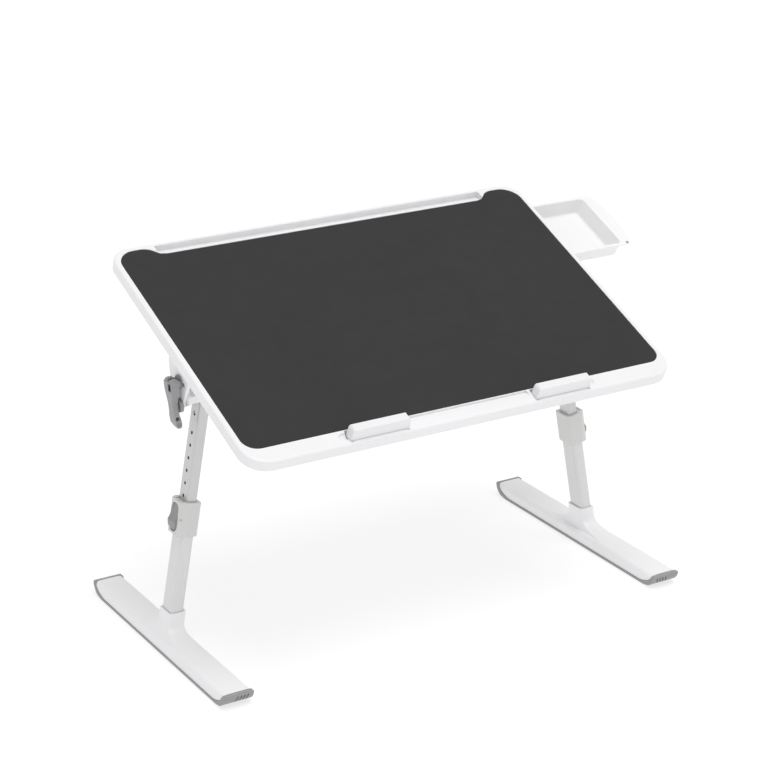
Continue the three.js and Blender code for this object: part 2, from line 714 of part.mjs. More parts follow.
// The cam lever, drawn hanging down with its pin at the origin
function makeLever() {
  const inner = -leverThickness / 3;
  const outer = inner + leverThickness;
  const tip = -leverLength + leverTipRadius;
  const side = new THREE.Shape();
  side.moveTo(inner, -leverHeadRadius);
  side.lineTo(inner, tip);
  side.quadraticCurveTo(inner, -leverLength, inner + leverThickness / 2, -leverLength);
  side.quadraticCurveTo(outer, -leverLength, outer, tip);
  side.lineTo(outer, 0);
  side.lineTo(0, 0);
  const face = polygon([
    [-leverHeadWidth / 2, leverHeadRadius], [-leverHeadWidth / 2, -leverHeadWidth / 2],
    [-leverTipWidth / 2, -leverLength / 2], [-leverTipWidth / 2, tip],
    [-leverTipWidth / 4, -leverLength], [leverTipWidth / 4, -leverLength],
    [leverTipWidth / 2, tip], [leverTipWidth / 2, -leverLength / 2],
    [leverHeadWidth / 2, -leverHeadWidth / 2], [leverHeadWidth / 2, leverHeadRadius],
  ]);
  const body = join(
    slabY(side, -leverHeadWidth / 2, leverHeadWidth / 2, 5),
    rodY(leverHeadRadius, -leverHeadWidth / 2, leverHeadWidth / 2, -leverOffset, 0, 28));
  const wide = leverHeadRadius + leverThickness;
  const forkHalf = clampRadius + run;
  const fork = block(-wide, wide, -forkHalf, forkHalf, -leverHeadRadius - run, leverHeadRadius + overrun);
  const eyeMiddle = inner + leverThickness / 2;
  return cut(
    body.intersect(slabX(face, -wide, wide)),
    fork,
    rodY(leverPinRadius + gap, -leverHeadWidth, leverHeadWidth, 0, 0, 14),
    rodY(leverEyeRadius, -leverHeadWidth, leverHeadWidth, eyeMiddle, -leverLength + leverEyeUp, 14));
}

// The leg's own frame has its origin on the fold pin and runs down along -Z
function tubeSection(tube, grow) {
  return roundedBox(
    -tube.x / 2 - grow, tube.x / 2 + grow, -tube.y / 2 - grow, tube.y / 2 + grow, tube.corner + grow);
}

function makeTube(tube, low, high) {
  return cut(
    slabZ(tubeSection(tube, 0), low, high, 4),
    slabZ(tubeSection(tube, -tube.wall), low - overrun, high + overrun, 4));
}

function makeInnerTube() {
  let tube = makeTube(innerTube, -innerTube.bottom, -innerTube.top);
  for (let i = 0; i < lockHoleCount; i += 1) {
    const down = -lockHoleFirst - i * lockHolePitch;
    tube = cut(tube, rodX(lockHoleRadius, 0, innerTube.x, 0, down, 8));
  }
  return tube;
}

function makeLegHead() {
  const half = earInnerFace - run;
  const plug = tubeSection(innerTube, -innerTube.wall - gap);
  const knuckle = join(
    rodY(knuckleRadius, -half, half, 0, 0, 24),
    block(-knuckleRadius, knuckleRadius, -half, half, gap - innerTube.top, 0));
  return cut(
    join(knuckle, slabZ(plug, -neckLength, -innerTube.top / 2, 4)),
    rodY(foldPinRadius + gap, -half - overrun, half + overrun, 0, 0, 16));
}

function makeFoldPin() {
  const head = foldPinRadius * 3 / 2;
  const face = earOuterFace + gap;
  return join(
    rodY(foldPinRadius, -face - weld, face + weld, 0, 0, 16),
    rodY(head, -face - foldPinHead, -face, 0, 0, 16),
    rodY(head, face, face + foldPinHead, 0, 0, 16));
}

function makeGlide() {
  const low = -innerTube.bottom - gap - glideThickness;
  const skirt = tubeSection(outerTube, -outerTube.wall - run);
  const plug = tubeSection(innerTube, -innerTube.wall - gap);
  return join(slabZ(skirt, low, low + glideThickness, 4), slabZ(plug, low, low + glidePlug, 4));
}

const tubeBottom = -(foldHeight - outerTube.floor) / Math.cos(splay);

function makeOuterTube() {
  return cut(
    makeTube(outerTube, tubeBottom, -outerTube.top),
    rodX(pegRadius + run * 2, 0, outerTube.x, 0, -pegDown, 14));
}

function makeCollar() {
  const rear = collarHalfWidth;
  const outline = new THREE.Shape();
  outline.moveTo(-collarIn, -rear + collarCorner);
  outline.lineTo(-collarIn + collarCorner, -rear);
  outline.lineTo(collarFlank - collarCorner, -rear);
  outline.quadraticCurveTo(collarFlank, -rear, collarFlank + collarCorner / 2, -rear + collarCorner);
  outline.lineTo(collarNose, -noseHalfWidth);
  outline.lineTo(collarNose, noseHalfWidth);
  outline.lineTo(collarFlank + collarCorner / 2, rear - collarCorner);
  outline.quadraticCurveTo(collarFlank, rear, collarFlank - collarCorner, rear);
  outline.lineTo(-collarIn + collarCorner, rear);
  outline.lineTo(-collarIn, rear - collarCorner);
  const pocket = rockerLowHalfWidth + run;
  const pocketTop = gap * 2 + run - rockerTop;
  const tubeFace = outerTube.x / 2 + gap;
  return cut(
    slabZ(outline, -collarBottom, -collarTop, 4),
    slabZ(tubeSection(outerTube, gap), -collarBottom - overrun, -collarTop - collarCap, 4),
    slabZ(tubeSection(innerTube, run), -collarTop - collarCap - overrun, -collarTop + overrun, 4),
    block(tubeFace, collarNose + overrun, -pocket, pocket, -collarBottom - overrun, pocketTop),
    rodY(rockerPinRadius + gap, -collarHalfWidth, collarHalfWidth, rockerPivotOut, -rockerPivotDown, 12));
}

// The lock button rocks on its pin: its bulged lower end is pressed in and its peg comes out
function makeRocker() {
  const side = new THREE.Shape();
  side.moveTo(rockerBack, -rockerTop - run);
  side.lineTo(rockerFace - run, -rockerTop);
  const bendDown = rockerPivotDown - rockerPinRadius * 2;
  side.quadraticCurveTo(rockerFace + run, -bendDown, rockerBulge, -rockerBulgeDown);
  side.quadraticCurveTo(rockerBulge, -rockerBottom, rockerHeel, -rockerBottom);
  side.lineTo(rockerLowBack + run, -rockerBottom + run);
  side.lineTo(rockerLowBack, -rockerBulgeDown);
  side.lineTo(rockerBack, -rockerPivotDown);
  const shoulder = -rockerTop - rockerTopHalfWidth;
  const face = new THREE.Shape();
  face.moveTo(-rockerTopHalfWidth, shoulder);
  face.quadraticCurveTo(-rockerTopHalfWidth, -rockerTop + run, 0, -rockerTop + run);
  face.quadraticCurveTo(rockerTopHalfWidth, -rockerTop + run, rockerTopHalfWidth, shoulder);
  face.lineTo(rockerLowHalfWidth, -rockerBulgeDown);
  face.quadraticCurveTo(rockerLowHalfWidth, -rockerBottom, 0, -rockerBottom);
  face.quadraticCurveTo(-rockerLowHalfWidth, -rockerBottom, -rockerLowHalfWidth, -rockerBulgeDown);
  const body = slabY(side, -rockerLowHalfWidth, rockerLowHalfWidth, 8).intersect(
    slabX(face, 0, rockerBulge + overrun, 6));
  const peg = rodX(pegRadius, innerTube.x / 2 + gap, rockerBack + pegRadius, 0, -pegDown, 14);
  return cut(
    join(body, peg),
    rodY(rockerPinRadius + gap, -collarHalfWidth, collarHalfWidth, rockerPivotOut, -rockerPivotDown, 12));
}

function makeRockerPin() {
  const half = noseHalfWidth + (collarHalfWidth - noseHalfWidth) / 2;
  return rodY(rockerPinRadius, -half, half, rockerPivotOut, -rockerPivotDown, 12);
}

// A flat leaf that the button's lower end is pressed against
function makeLeaf() {
  const back = outerTube.x / 2 + gap;
  const low = gap - rockerBottom;
  return block(back, back + springThickness, -springWidth / 2, springWidth / 2, low, low + springLength);
}

// The foot is drawn on the ground, in the stand's own axes
const footInnerEdge = foldPlace + foldHeight * Math.tan(splay) - footInReach;
const footOuterEdge = footInnerEdge + footWidth;
const halfFoot = footLength / 2;

function tipPoints(shrink) {
  const bend = halfFoot - tipRun;
  return [
    [bend, shrink], [bend + tipRun * 2 / 3, tipRise / 4 + shrink], [halfFoot - shrink, tipRise],
  ];
}

function makeSole() {
  const outer = tipPoints(0);
  const bend = halfFoot - tipRun;
  const inner = [
    [halfFoot - tipThickness, tipRise], [bend + tipRun * 2 / 3 - tipThickness, tipRise / 4 + tipThickness],
    [bend - tipThickness, soleThickness],
  ];
  const right = [...outer, ...inner];
  const left = right.map(([y, z]) => [-y, z]).reverse();
  const body = slabX(polygon([...left, ...right]), footInnerEdge, footOuterEdge);
  const cuts = [];
  const middle = (footInnerEdge + footOuterEdge) / 2;
  for (let i = 0; i < slitCount; i += 1) {
    const x = middle + (i - (slitCount - 1) / 2) * slitPitch;
    for (const end of [-1, 1]) {
      const face = end * (halfFoot - tipRun / 6);
      const [low, high] = [Math.min(face, face + end * tipRun), Math.max(face, face + end * tipRun)];
      const up = tipRise - slitHeight - slitDepth;
      cuts.push(block(x - slitWidth / 2, x + slitWidth / 2, low, high, up, up + slitHeight));
    }
  }
  return cut(body, ...cuts);
}

function makeFootShell() {
  const bend = halfFoot - tipRun;
  const floor = soleThickness + gap;
  const tipY = halfFoot - tipThickness - gap;
  const midY = bend + tipRun * 2 / 3 - tipThickness - gap;
  const midZ = tipRise / 4 + tipThickness + gap;
  const right = [[bend - tipThickness - gap, floor], [midY, midZ], [tipY, tipRise], [tipY - gap, footTop]];
  const left = right.map(([y, z]) => [-y, z]).reverse();
  const inX = footInnerEdge + soleSide;
  const outX = footOuterEdge - soleSide;
  const section = new THREE.Shape();
  section.moveTo(inX, 0);
  section.lineTo(outX, 0);
  section.lineTo(outX, footTop - footTopRound);
  section.quadraticCurveTo(outX, footTop, outX - footTopRound, footTop);
  section.lineTo(inX + footTopRound, footTop);
  section.quadraticCurveTo(inX, footTop, inX, footTop - footTopRound);
  const boat = slabX(polygon([...left, ...right]), inX, outX);
  const bar = boat.intersect(slabY(section, -halfFoot, halfFoot, 5));
  const legX = (z) => foldPlace + (foldHeight - z) * Math.tan(splay);
  const neckHalfX = outerTube.x / 2 + hubWall;
  const neckHalfY = outerTube.y / 2 + hubWall;
  const front = new THREE.Shape();
  front.moveTo(-hubFlare, soleThickness + gap);
  front.lineTo(hubFlare, soleThickness + gap);
  front.lineTo(hubFlare, footTop - footTopRound);
  front.quadraticCurveTo(neckHalfY + hubWall * 2, footTop + hubWall, neckHalfY, hubTop);
  front.lineTo(-neckHalfY, hubTop);
  front.quadraticCurveTo(-neckHalfY - hubWall * 2, footTop + hubWall, -hubFlare, footTop - footTopRound);
  const across = new THREE.Shape();
  across.moveTo(inX, soleThickness + gap);
  across.lineTo(outX, soleThickness + gap);
  across.lineTo(outX, footTop - footTopRound);
  across.quadraticCurveTo(legX(footTop) + neckHalfX + hubWall, footTop + hubWall, legX(hubTop) + neckHalfX, hubTop);
  across.lineTo(legX(hubTop) - neckHalfX, hubTop);
  across.lineTo(inX, footTop - footTopRound);
  const hub = slabX(front, inX, outX, 7).intersect(slabY(across, -hubFlare, hubFlare, 7));
  const socket = splayed(slabZ(
    tubeSection(outerTube, gap), tubeBottom - gap, tubeBottom + hubTop * 2, 4));
  const cuts = [socket];
  for (const end of [-1, 1]) {
    const near = end * cavityInner;
    const far = end * cavityOuter;
    cuts.push(block(
      inX + footWall, outX - footWall, Math.min(near, far), Math.max(near, far), 0, footTop - footWall));
  }
  return cut(join(bar, hub), ...cuts);
}

for (const { name, sign } of sides) {
  const bracket = new THREE.Group();
  bracket.position.set(0, 0, pivotHeight);
  stand.add(bracket);
  add(bracket, `tilt_bracket_${name}`, handed(makeBracket(), sign), whitePlastic);
  add(bracket, `pivot_bolt_${name}`, handed(makePivotBolt(), sign), greyPlastic);
  add(bracket, `clamp_bolt_${name}`, handed(makeClampBolt(), sign), steel);
  add(bracket, `clamp_nut_${name}`, handed(makeClampNut(), sign), steel);
  add(bracket, `clamp_washer_${name}`, handed(makeWasher(), sign), greyPlastic);

  const clamp = new THREE.Group();
  clamp.position.set(sign * leverPinPlace, 0, slotRadius);
  bracket.add(clamp);
  add(clamp, `cam_lever_${name}`, handed(makeLever(), sign), greyPlastic);
  add(clamp, `lever_pin_${name}`, rodY(
    leverPinRadius, -leverHeadWidth / 2 + run, leverHeadWidth / 2 - run, 0, 0, 14), steel);

  const leg = new THREE.Group();
  leg.position.set(sign * foldPlace, 0, foldHeight);
  leg.rotation.y = -sign * splay;
  stand.add(leg);
  add(leg, `fold_pin_${name}`, handed(makeFoldPin(), sign), steel);
  add(leg, `leg_head_${name}`, handed(makeLegHead(), sign), whitePlastic);
  add(leg, `inner_tube_${name}`, handed(makeInnerTube(), sign), tubePaint);
  add(leg, `tube_glide_${name}`, handed(makeGlide(), sign), greyPlastic);
  add(leg, `outer_tube_${name}`, handed(makeOuterTube(), sign), tubePaint);
  add(leg, `leg_collar_${name}`, handed(makeCollar(), sign), collarPlastic);
  add(leg, `lock_button_${name}`, handed(makeRocker(), sign), greyPlastic);
  add(leg, `button_pin_${name}`, handed(makeRockerPin(), sign), steel);
  add(leg, `button_spring_${name}`, handed(makeLeaf(), sign), steel);

  add(stand, `foot_shell_${name}`, handed(makeFootShell(), sign), whitePlastic);
  add(stand, `foot_sole_${name}`, handed(makeSole(), sign), solePlastic);
}

// The origin is under the middle of the whole stand, on the ground
stand.updateMatrixWorld(true);
const bounds = new THREE.Box3().setFromObject(stand, true);
const middle = bounds.getCenter(new THREE.Vector3());
stand.position.set(-middle.x, -middle.y, 0);
const model = new THREE.Group();
model.add(stand);

export default model;
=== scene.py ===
import bpy
import bmesh
import json
import math
from mathutils import Matrix, Vector


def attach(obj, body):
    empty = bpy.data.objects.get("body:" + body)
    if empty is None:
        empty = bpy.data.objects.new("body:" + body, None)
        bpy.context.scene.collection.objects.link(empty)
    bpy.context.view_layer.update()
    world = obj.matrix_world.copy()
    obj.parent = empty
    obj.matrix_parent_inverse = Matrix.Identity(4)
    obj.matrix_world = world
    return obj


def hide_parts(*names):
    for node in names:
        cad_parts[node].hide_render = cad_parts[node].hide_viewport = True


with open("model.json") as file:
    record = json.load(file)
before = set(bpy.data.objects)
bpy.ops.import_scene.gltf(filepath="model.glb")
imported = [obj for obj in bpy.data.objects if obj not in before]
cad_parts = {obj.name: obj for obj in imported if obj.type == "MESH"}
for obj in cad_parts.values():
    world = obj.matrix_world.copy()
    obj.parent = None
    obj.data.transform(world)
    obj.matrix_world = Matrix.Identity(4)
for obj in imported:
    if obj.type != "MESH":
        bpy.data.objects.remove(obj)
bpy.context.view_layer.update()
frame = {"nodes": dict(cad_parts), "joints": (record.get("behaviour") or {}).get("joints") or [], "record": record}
print("frame loaded:", len(frame["nodes"]), "pieces")

mm = 0.001
past = 5  # cutting shapes run this far past what they cut, in mm
into = 1  # shapes that join reach this far into each other, in mm
sides = {"left": -1, "right": 1}


# Places taken from the frame

def mountOf(name):
    return next(m for m in frame["record"]["mounts"] if m["name"] == name)


def jointOf(name):
    return next(j for j in frame["joints"] if j["name"] == name)


def axes(origin, x, y, z):
    space = Matrix((x, y, z)).transposed().to_4x4()
    space.translation = origin
    return space


worldX = Vector((1, 0, 0))
worldY = Vector((0, 1, 0))
worldZ = Vector((0, 0, 1))

matDrop = 0.6  # the mat lies this far under the rim's top, in mm
deskUp = Vector(mountOf("work_surface")["axis"]).normalized()
deskMiddle = Vector(mountOf("work_surface")["pos_m"]) + deskUp * matDrop * mm
deskSpace = axes(deskMiddle, worldX, deskUp.cross(worldX), deskUp)

footPlaces = [Vector(mountOf(name + "_foot_sole")["pos_m"]) for name in sides]
footMiddle = (footPlaces[0] + footPlaces[1]) / 2
footSpace = Matrix.Translation(footMiddle)
pivotPlace = Vector(jointOf("tilt_left")["pos_m"])
bracketSpace = Matrix.Translation(Vector((footMiddle.x, pivotPlace.y, pivotPlace.z)))


def legSpace(side):
    # the leg's own frame: its origin is on the fold pin and the leg runs down -Z
    # +X is outboard on the right
    up = Vector(jointOf("height_" + side)["axis"]).normalized()
    return axes(Vector(jointOf("fold_" + side)["pos_m"]), worldY.cross(up), worldY, up)


# The camera stands where the photo's did

camera = {
    "place": (-1365.4, -2256.3, 1277.3),  # from the ground between the feet, in mm
    "lens": 105.2,
    "turn": -31.09,
    "down": 20.64,
    "clip": (0.1, 50),  # in metres
}
cameraData = bpy.data.cameras.new("camera")
cameraData.lens = camera["lens"]
cameraData.clip_start, cameraData.clip_end = camera["clip"]
cameraObject = bpy.data.objects.new("camera", cameraData)
cameraObject.location = footMiddle + Vector(camera["place"]) * mm
cameraObject.rotation_euler = (math.radians(90 - camera["down"]), 0, math.radians(camera["turn"]))
bpy.context.collection.objects.link(cameraObject)
bpy.context.scene.camera = cameraObject
print("camera placed")


# Finishes

finish = {
    "noiseRough": 0.55, "colourFrom": 0.3, "colourTo": 0.7,
    "cloudScale": 6, "cloudDetail": 4, "glossScale": 40, "glossDetail": 5, "glossDown": 0.06, "glossUp": 0.08,
    "grainDetail": 2, "grainStrength": 0.12, "plasticIor": 1.5,
    "streakScale": 160, "streakDetail": 2, "streakShade": 0.97, "streakDown": 0.03, "streakUp": 0.05,
}


def newLook(name, colour, rough, metal=0.0, **more):
    look = bpy.data.materials.new(name)
    look.use_nodes = True
    shader = look.node_tree.nodes["Principled BSDF"]
    shader.inputs["Base Color"].default_value = (*colour, 1)
    shader.inputs["Roughness"].default_value = rough
    shader.inputs["Metallic"].default_value = metal
    for socket, value in more.items():
        shader.inputs[socket].default_value = value
    return look


def addNode(look, kind, **settings):
    node = look.node_tree.nodes.new(kind)
    for socket, value in settings.items():
        node.inputs[socket].default_value = value
    return node


def objectPoints(look, stretch=(1, 1, 1)):
    source = addNode(look, "ShaderNodeTexCoord")
    mapping = addNode(look, "ShaderNodeMapping", Scale=stretch)
    look.node_tree.links.new(source.outputs["Object"], mapping.inputs["Vector"])
    return mapping.outputs["Vector"]


def noiseOf(look, points, scale, detail):
    noise = addNode(look, "ShaderNodeTexNoise", Scale=scale, Detail=detail, Roughness=finish["noiseRough"])
    look.node_tree.links.new(points, noise.inputs["Vector"])
    return noise.outputs["Fac"]


def varyColour(look, value, dark, light):
    links = look.node_tree.links
    ramp = addNode(look, "ShaderNodeValToRGB")
    first, last = ramp.color_ramp.elements
    first.position, last.position = finish["colourFrom"], finish["colourTo"]
    first.color, last.color = (*dark, 1), (*light, 1)
    links.new(value, ramp.inputs["Fac"])
    links.new(ramp.outputs["Color"], look.node_tree.nodes["Principled BSDF"].inputs["Base Color"])


def varyRoughness(look, value, low, high):
    links = look.node_tree.links
    spread = addNode(look, "ShaderNodeMapRange")
    spread.inputs["To Min"].default_value, spread.inputs["To Max"].default_value = low, high
    links.new(value, spread.inputs["Value"])
    links.new(spread.outputs["Result"], look.node_tree.nodes["Principled BSDF"].inputs["Roughness"])


def addGrain(look, value, strength, height):
    links = look.node_tree.links
    bump = addNode(look, "ShaderNodeBump", Strength=strength, Distance=height * mm)
    links.new(value, bump.inputs["Height"])
    links.new(bump.outputs["Normal"], look.node_tree.nodes["Principled BSDF"].inputs["Normal"])


def mouldedPlastic(name, colour, rough, shade=0.03, grain=1400, depth=0.05, gloss=0.5):
    # moulded plastic: a fine spark-eroded grain, faint clouding and uneven gloss
    f = finish
    look = newLook(name, colour, rough, **{"IOR": f["plasticIor"], "Specular IOR Level": gloss})
    points = objectPoints(look)
    dark = tuple(c * (1 - shade) for c in colour)
    light = tuple(min(1, c * (1 + shade)) for c in colour)
    varyColour(look, noiseOf(look, points, f["cloudScale"], f["cloudDetail"]), dark, light)
    varyRoughness(look, noiseOf(look, points, f["glossScale"], f["glossDetail"]),
                  rough - f["glossDown"], rough + f["glossUp"])
    addGrain(look, noiseOf(look, points, grain, f["grainDetail"]), f["grainStrength"], depth)
    return look


def drawnMetal(name, colour, rough, metal, along):
    # drawn tube, rod or strip: faint streaks that run along it
    look = newLook(name, colour, rough, metal)
    streaks = noiseOf(look, objectPoints(look, along), finish["streakScale"], finish["streakDetail"])
    varyColour(look, streaks, tuple(c * finish["streakShade"] for c in colour), colour)
    varyRoughness(look, streaks, rough - finish["streakDown"], rough + finish["streakUp"])
    return look


looks = {
    "white": mouldedPlastic("whiteShell", (0.86, 0.86, 0.87), 0.34, shade=0.012),
    # the drawer's white is a lighter copy of the shell's white plastic: painted light that brightens its shaded
    # inner walls
    "drawer": mouldedPlastic("drawerWhiteLitCopy", (0.89, 0.89, 0.895), 0.34, shade=0.012),
    "frosted": mouldedPlastic("stopperPlastic", (0.84, 0.84, 0.85), 0.3, shade=0.015),
    "grey": mouldedPlastic("greyHandle", (0.31, 0.31, 0.32), 0.42),
    "collar": mouldedPlastic("collarGrey", (0.65, 0.65, 0.64), 0.4),
    "button": mouldedPlastic("buttonGrey", (0.29, 0.285, 0.29), 0.42),
    "sole": mouldedPlastic("soleGrip", (0.3, 0.3, 0.305), 0.5, grain=900, depth=0.08),
    "mat": mouldedPlastic("deskLaminate", (0.024, 0.023, 0.024), 0.7, shade=0.06, grain=1100, depth=0.06,
                          gloss=0.36),
    "board": mouldedPlastic("boardBacking", (0.74, 0.74, 0.73), 0.6, grain=500),
    "tube": drawnMetal("tubeCoat", (0.69, 0.69, 0.695), 0.24, 0.3, (1, 1, 0.004)),
    "innerTube": drawnMetal("innerTubeMetal", (0.6, 0.6, 0.605), 0.3, 0.5, (1, 1, 0.004)),
    "steel": drawnMetal("platedSteel", (0.56, 0.56, 0.57), 0.3, 1.0, (1, 1, 0.2)),
}
slots = {
    "white": "white_plastic", "drawer": "white_plastic", "frosted": "white_plastic",
    "grey": "grey_plastic", "collar": "collar_plastic", "button": "button_plastic", "sole": "sole_grip",
    "mat": "mat_laminate", "board": "board_core", "tube": "tube_paint", "innerTube": "tube_paint",
    "steel": "steel",
}
print("finishes made")


# Mesh tools: shapes are drawn in millimetres in a local frame and moved to their place at the end

standTurns = {  # stand a drawn outline up, so that its thickness runs along this axis
    "X": Matrix(((0, 0, 1, 0), (1, 0, 0, 0), (0, 1, 0, 0), (0, 0, 0, 1))),
    "Y": Matrix(((1, 0, 0, 0), (0, 0, 1, 0), (0, 1, 0, 0), (0, 0, 0, 1))),
}
rodTurns = {"X": Matrix.Rotation(math.pi / 2, 4, "Y"), "Y": Matrix.Rotation(-math.pi / 2, 4, "X")}
dressing = {"weld": 0.01, "segments": 2, "sharp": 40}


def flatOutline(corners, rounds=None, segments=8):
    bm = bmesh.new()
    verts = [bm.verts.new((x, y, 0)) for x, y in corners]
    bm.faces.new(verts)
    for vert, size in zip(verts, rounds or []):
        if size:
            bmesh.ops.bevel(bm, geom=[vert], offset=size, offset_type="OFFSET", segments=segments,
                            profile=0.5, affect="VERTICES", material=-1)
    return bm


def drawn(points, segments=8):
    # an outline whose corners are given as (across, up, round)
    return flatOutline([point[:2] for point in points], [point[2] for point in points], segments)


def thicken(bm, low, high):
    bmesh.ops.translate(bm, verts=bm.verts, vec=(0, 0, low))
    made = bmesh.ops.extrude_face_region(bm, geom=bm.faces[:], use_keep_orig=True)
    moved = [part for part in made["geom"] if isinstance(part, bmesh.types.BMVert)]
    bmesh.ops.translate(bm, verts=moved, vec=(0, 0, high - low))
    bmesh.ops.recalc_face_normals(bm, faces=bm.faces)
    return bm


def wall(bm, x0, x1):
    # an outline drawn as (y, z), made thick along X
    bmesh.ops.transform(thicken(bm, x0, x1), matrix=standTurns["X"], verts=bm.verts)
    return bm


def plate(bm, y0, y1):
    # an outline drawn as (x, z), made thick along Y
    bmesh.ops.transform(thicken(bm, y0, y1), matrix=standTurns["Y"], verts=bm.verts)
    bmesh.ops.recalc_face_normals(bm, faces=bm.faces)
    return bm


def rectangle(x0, x1, y0, y1, corner, segments=8):
    return flatOutline([(x0, y0), (x1, y0), (x1, y1), (x0, y1)], [corner] * 4, segments)


def slab(x0, x1, y0, y1, z0, z1, corner=0, segments=8):
    return thicken(rectangle(x0, x1, y0, y1, corner, segments), z0, z1)


def rod(radius, low, high, segments=32, along="Z", at=(0, 0)):
    bm = bmesh.new()
    bmesh.ops.create_cone(bm, cap_ends=True, segments=segments, radius1=radius, radius2=radius,
                          depth=high - low)
    bmesh.ops.translate(bm, verts=bm.verts, vec=(0, 0, (low + high) / 2))
    places = {"X": (0, *at), "Y": (at[0], 0, at[1]), "Z": (*at, 0)}
    if along in rodTurns:
        bmesh.ops.transform(bm, matrix=rodTurns[along], verts=bm.verts)
    bmesh.ops.translate(bm, verts=bm.verts, vec=places[along])
    return bm


def roundEdges(bm, width, segments=4, pick=None, sharp=30):
    # rounds the edges that pick chooses, or all sharp ones
    limit = math.radians(sharp)
    edges = [e for e in bm.edges if e.calc_face_angle(0) > limit and (pick is None or pick(e))]
    bmesh.ops.bevel(bm, geom=edges, offset=width, offset_type="OFFSET", segments=segments, profile=0.5,
                    affect="EDGES", clamp_overlap=True, material=-1)
    return bm


def levelEdge(edge, height, axis=2, near=0.01):
    return all(abs(vert.co[axis] - height) < near for vert in edge.verts)


def asObject(bm):
    mesh = bpy.data.meshes.new("work")
    bm.to_mesh(mesh)
    bm.free()
    item = bpy.data.objects.new("work", mesh)
    bpy.context.collection.objects.link(item)
    return item


def combine(bm, tools, operation):
    base = asObject(bm)
    others = [asObject(tool) for tool in tools]
    for other in others:
        step = base.modifiers.new("cut", "BOOLEAN")
        step.object, step.operation, step.solver = other, operation, "EXACT"
    bpy.context.view_layer.update()
    seen = base.evaluated_get(bpy.context.evaluated_depsgraph_get())
    result = bmesh.new()
    result.from_mesh(seen.to_mesh())
    seen.to_mesh_clear()
    for item in [base, *others]:
        mesh = item.data
        bpy.data.objects.remove(item)
        bpy.data.meshes.remove(mesh)
    bmesh.ops.remove_doubles(result, verts=result.verts, dist=0.002)
    return result


def carve(bm, *tools):
    return combine(bm, tools, "DIFFERENCE")


def fuse(bm, *tools):
    return combine(bm, tools, "UNION")


def keep(bm, *tools):
    return combine(bm, tools, "INTERSECT")


finished = set()  # CAD pieces that have been replaced or dressed


def addPiece(name, bm, space, body, look, replaced, edge=0.5, segments=3, sharp=32, flip=False):
    if flip:
        bmesh.ops.scale(bm, vec=(-1, 1, 1), verts=bm.verts)
    bmesh.ops.transform(bm, matrix=space @ Matrix.Scale(mm, 4), verts=bm.verts)
    bmesh.ops.recalc_face_normals(bm, faces=bm.faces)
    for face in bm.faces:
        face.smooth = True
    mesh = bpy.data.meshes.new(name)
    bm.to_mesh(mesh)
    bm.free()
    piece = bpy.data.objects.new(name, mesh)
    bpy.context.collection.objects.link(piece)
    mesh.materials.append(looks[look])
    bevel = piece.modifiers.new("edges", "BEVEL")
    bevel.width, bevel.segments = edge * mm, segments
    bevel.limit_method, bevel.angle_limit = "ANGLE", math.radians(sharp)
    bevel.miter_outer = "MITER_ARC"
    bevel.harden_normals = True
    shading = piece.modifiers.new("shading", "WEIGHTED_NORMAL")
    shading.keep_sharp = True
    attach(piece, body)
    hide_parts(*replaced)
    finished.update(replaced)


def dressNode(name, look, edge=0.25):
    # a CAD piece that keeps its shape gets its finish and small round edges
    node = frame["nodes"][name]
    node.data.materials.clear()
    node.data.materials.append(looks[look])
    weld = node.modifiers.new("weld", "WELD")
    weld.merge_threshold = dressing["weld"] * mm
    bevel = node.modifiers.new("edges", "BEVEL")
    bevel.width, bevel.segments = edge * mm, dressing["segments"]
    bevel.limit_method, bevel.angle_limit = "ANGLE", math.radians(dressing["sharp"])
    finished.add(name)


# The top's frame, mat and board

desk = {
    "width": 600, "depth": 400, "edge": 16,
    "frontCorner": 32, "rearCorner": 27, "cornerSegments": 14,
    "topRound": 3, "underRound": 2.4,
    "sideRim": 7.2, "frontRail": 24.2, "rearRail": 22.8, "earRim": 7.6,
    "matFrontCorner": 19, "matEarCorner": 25, "earStepAt": 235, "earStepRun": 15, "earStepRound": 8,
    "recessFloor": 12, "recessGap": 0.3, "ledge": 10,
    "slotLength": 478, "slotWidth": 15, "slotDepth": 9, "slotRearWall": 5.4,
    "slotCorner": 2.2, "slotRound": 1.4,
    "stopperEnds": (89.6, 168.4), "pocketWalls": (4.5, 23), "pocketDepth": 14.8, "pocketCorner": 1,
    "lugRoom": (2.4, 3.2, 5),  # from the front edge, length and depth
    "hingeIn": 4.3, "hingeDrop": 2.2, "hingeHole": 1.5, "hingeReach": 3.3,
    "grooveLength": 172, "grooveWidth": 9.5, "grooveDepth": 3.2,
    "scoopLength": 12, "scoopWidth": 12, "scoopDepth": 3.6,
    "matThickness": 1.2,
}
halfWide, halfDeep = desk["width"] / 2, desk["depth"] / 2


def panelOutline(grow):
    # the outline that the mat, the board and the frame's recess share
    side = halfWide - desk["sideRim"] + grow
    front = desk["frontRail"] - halfDeep - grow
    rear = halfDeep - desk["rearRail"] + grow
    ear = halfDeep - desk["earRim"] + grow
    step = desk["earStepAt"] - grow
    frontCorner, earCorner = desk["matFrontCorner"] + grow, desk["matEarCorner"] + grow
    soft = desk["earStepRound"]
    return drawn([
        (-side, front, frontCorner), (side, front, frontCorner), (side, ear, earCorner),
        (step + desk["earStepRun"], ear, soft), (step, rear, soft), (-step, rear, soft),
        (-step - desk["earStepRun"], ear, soft), (-side, ear, earCorner)], segments=10)


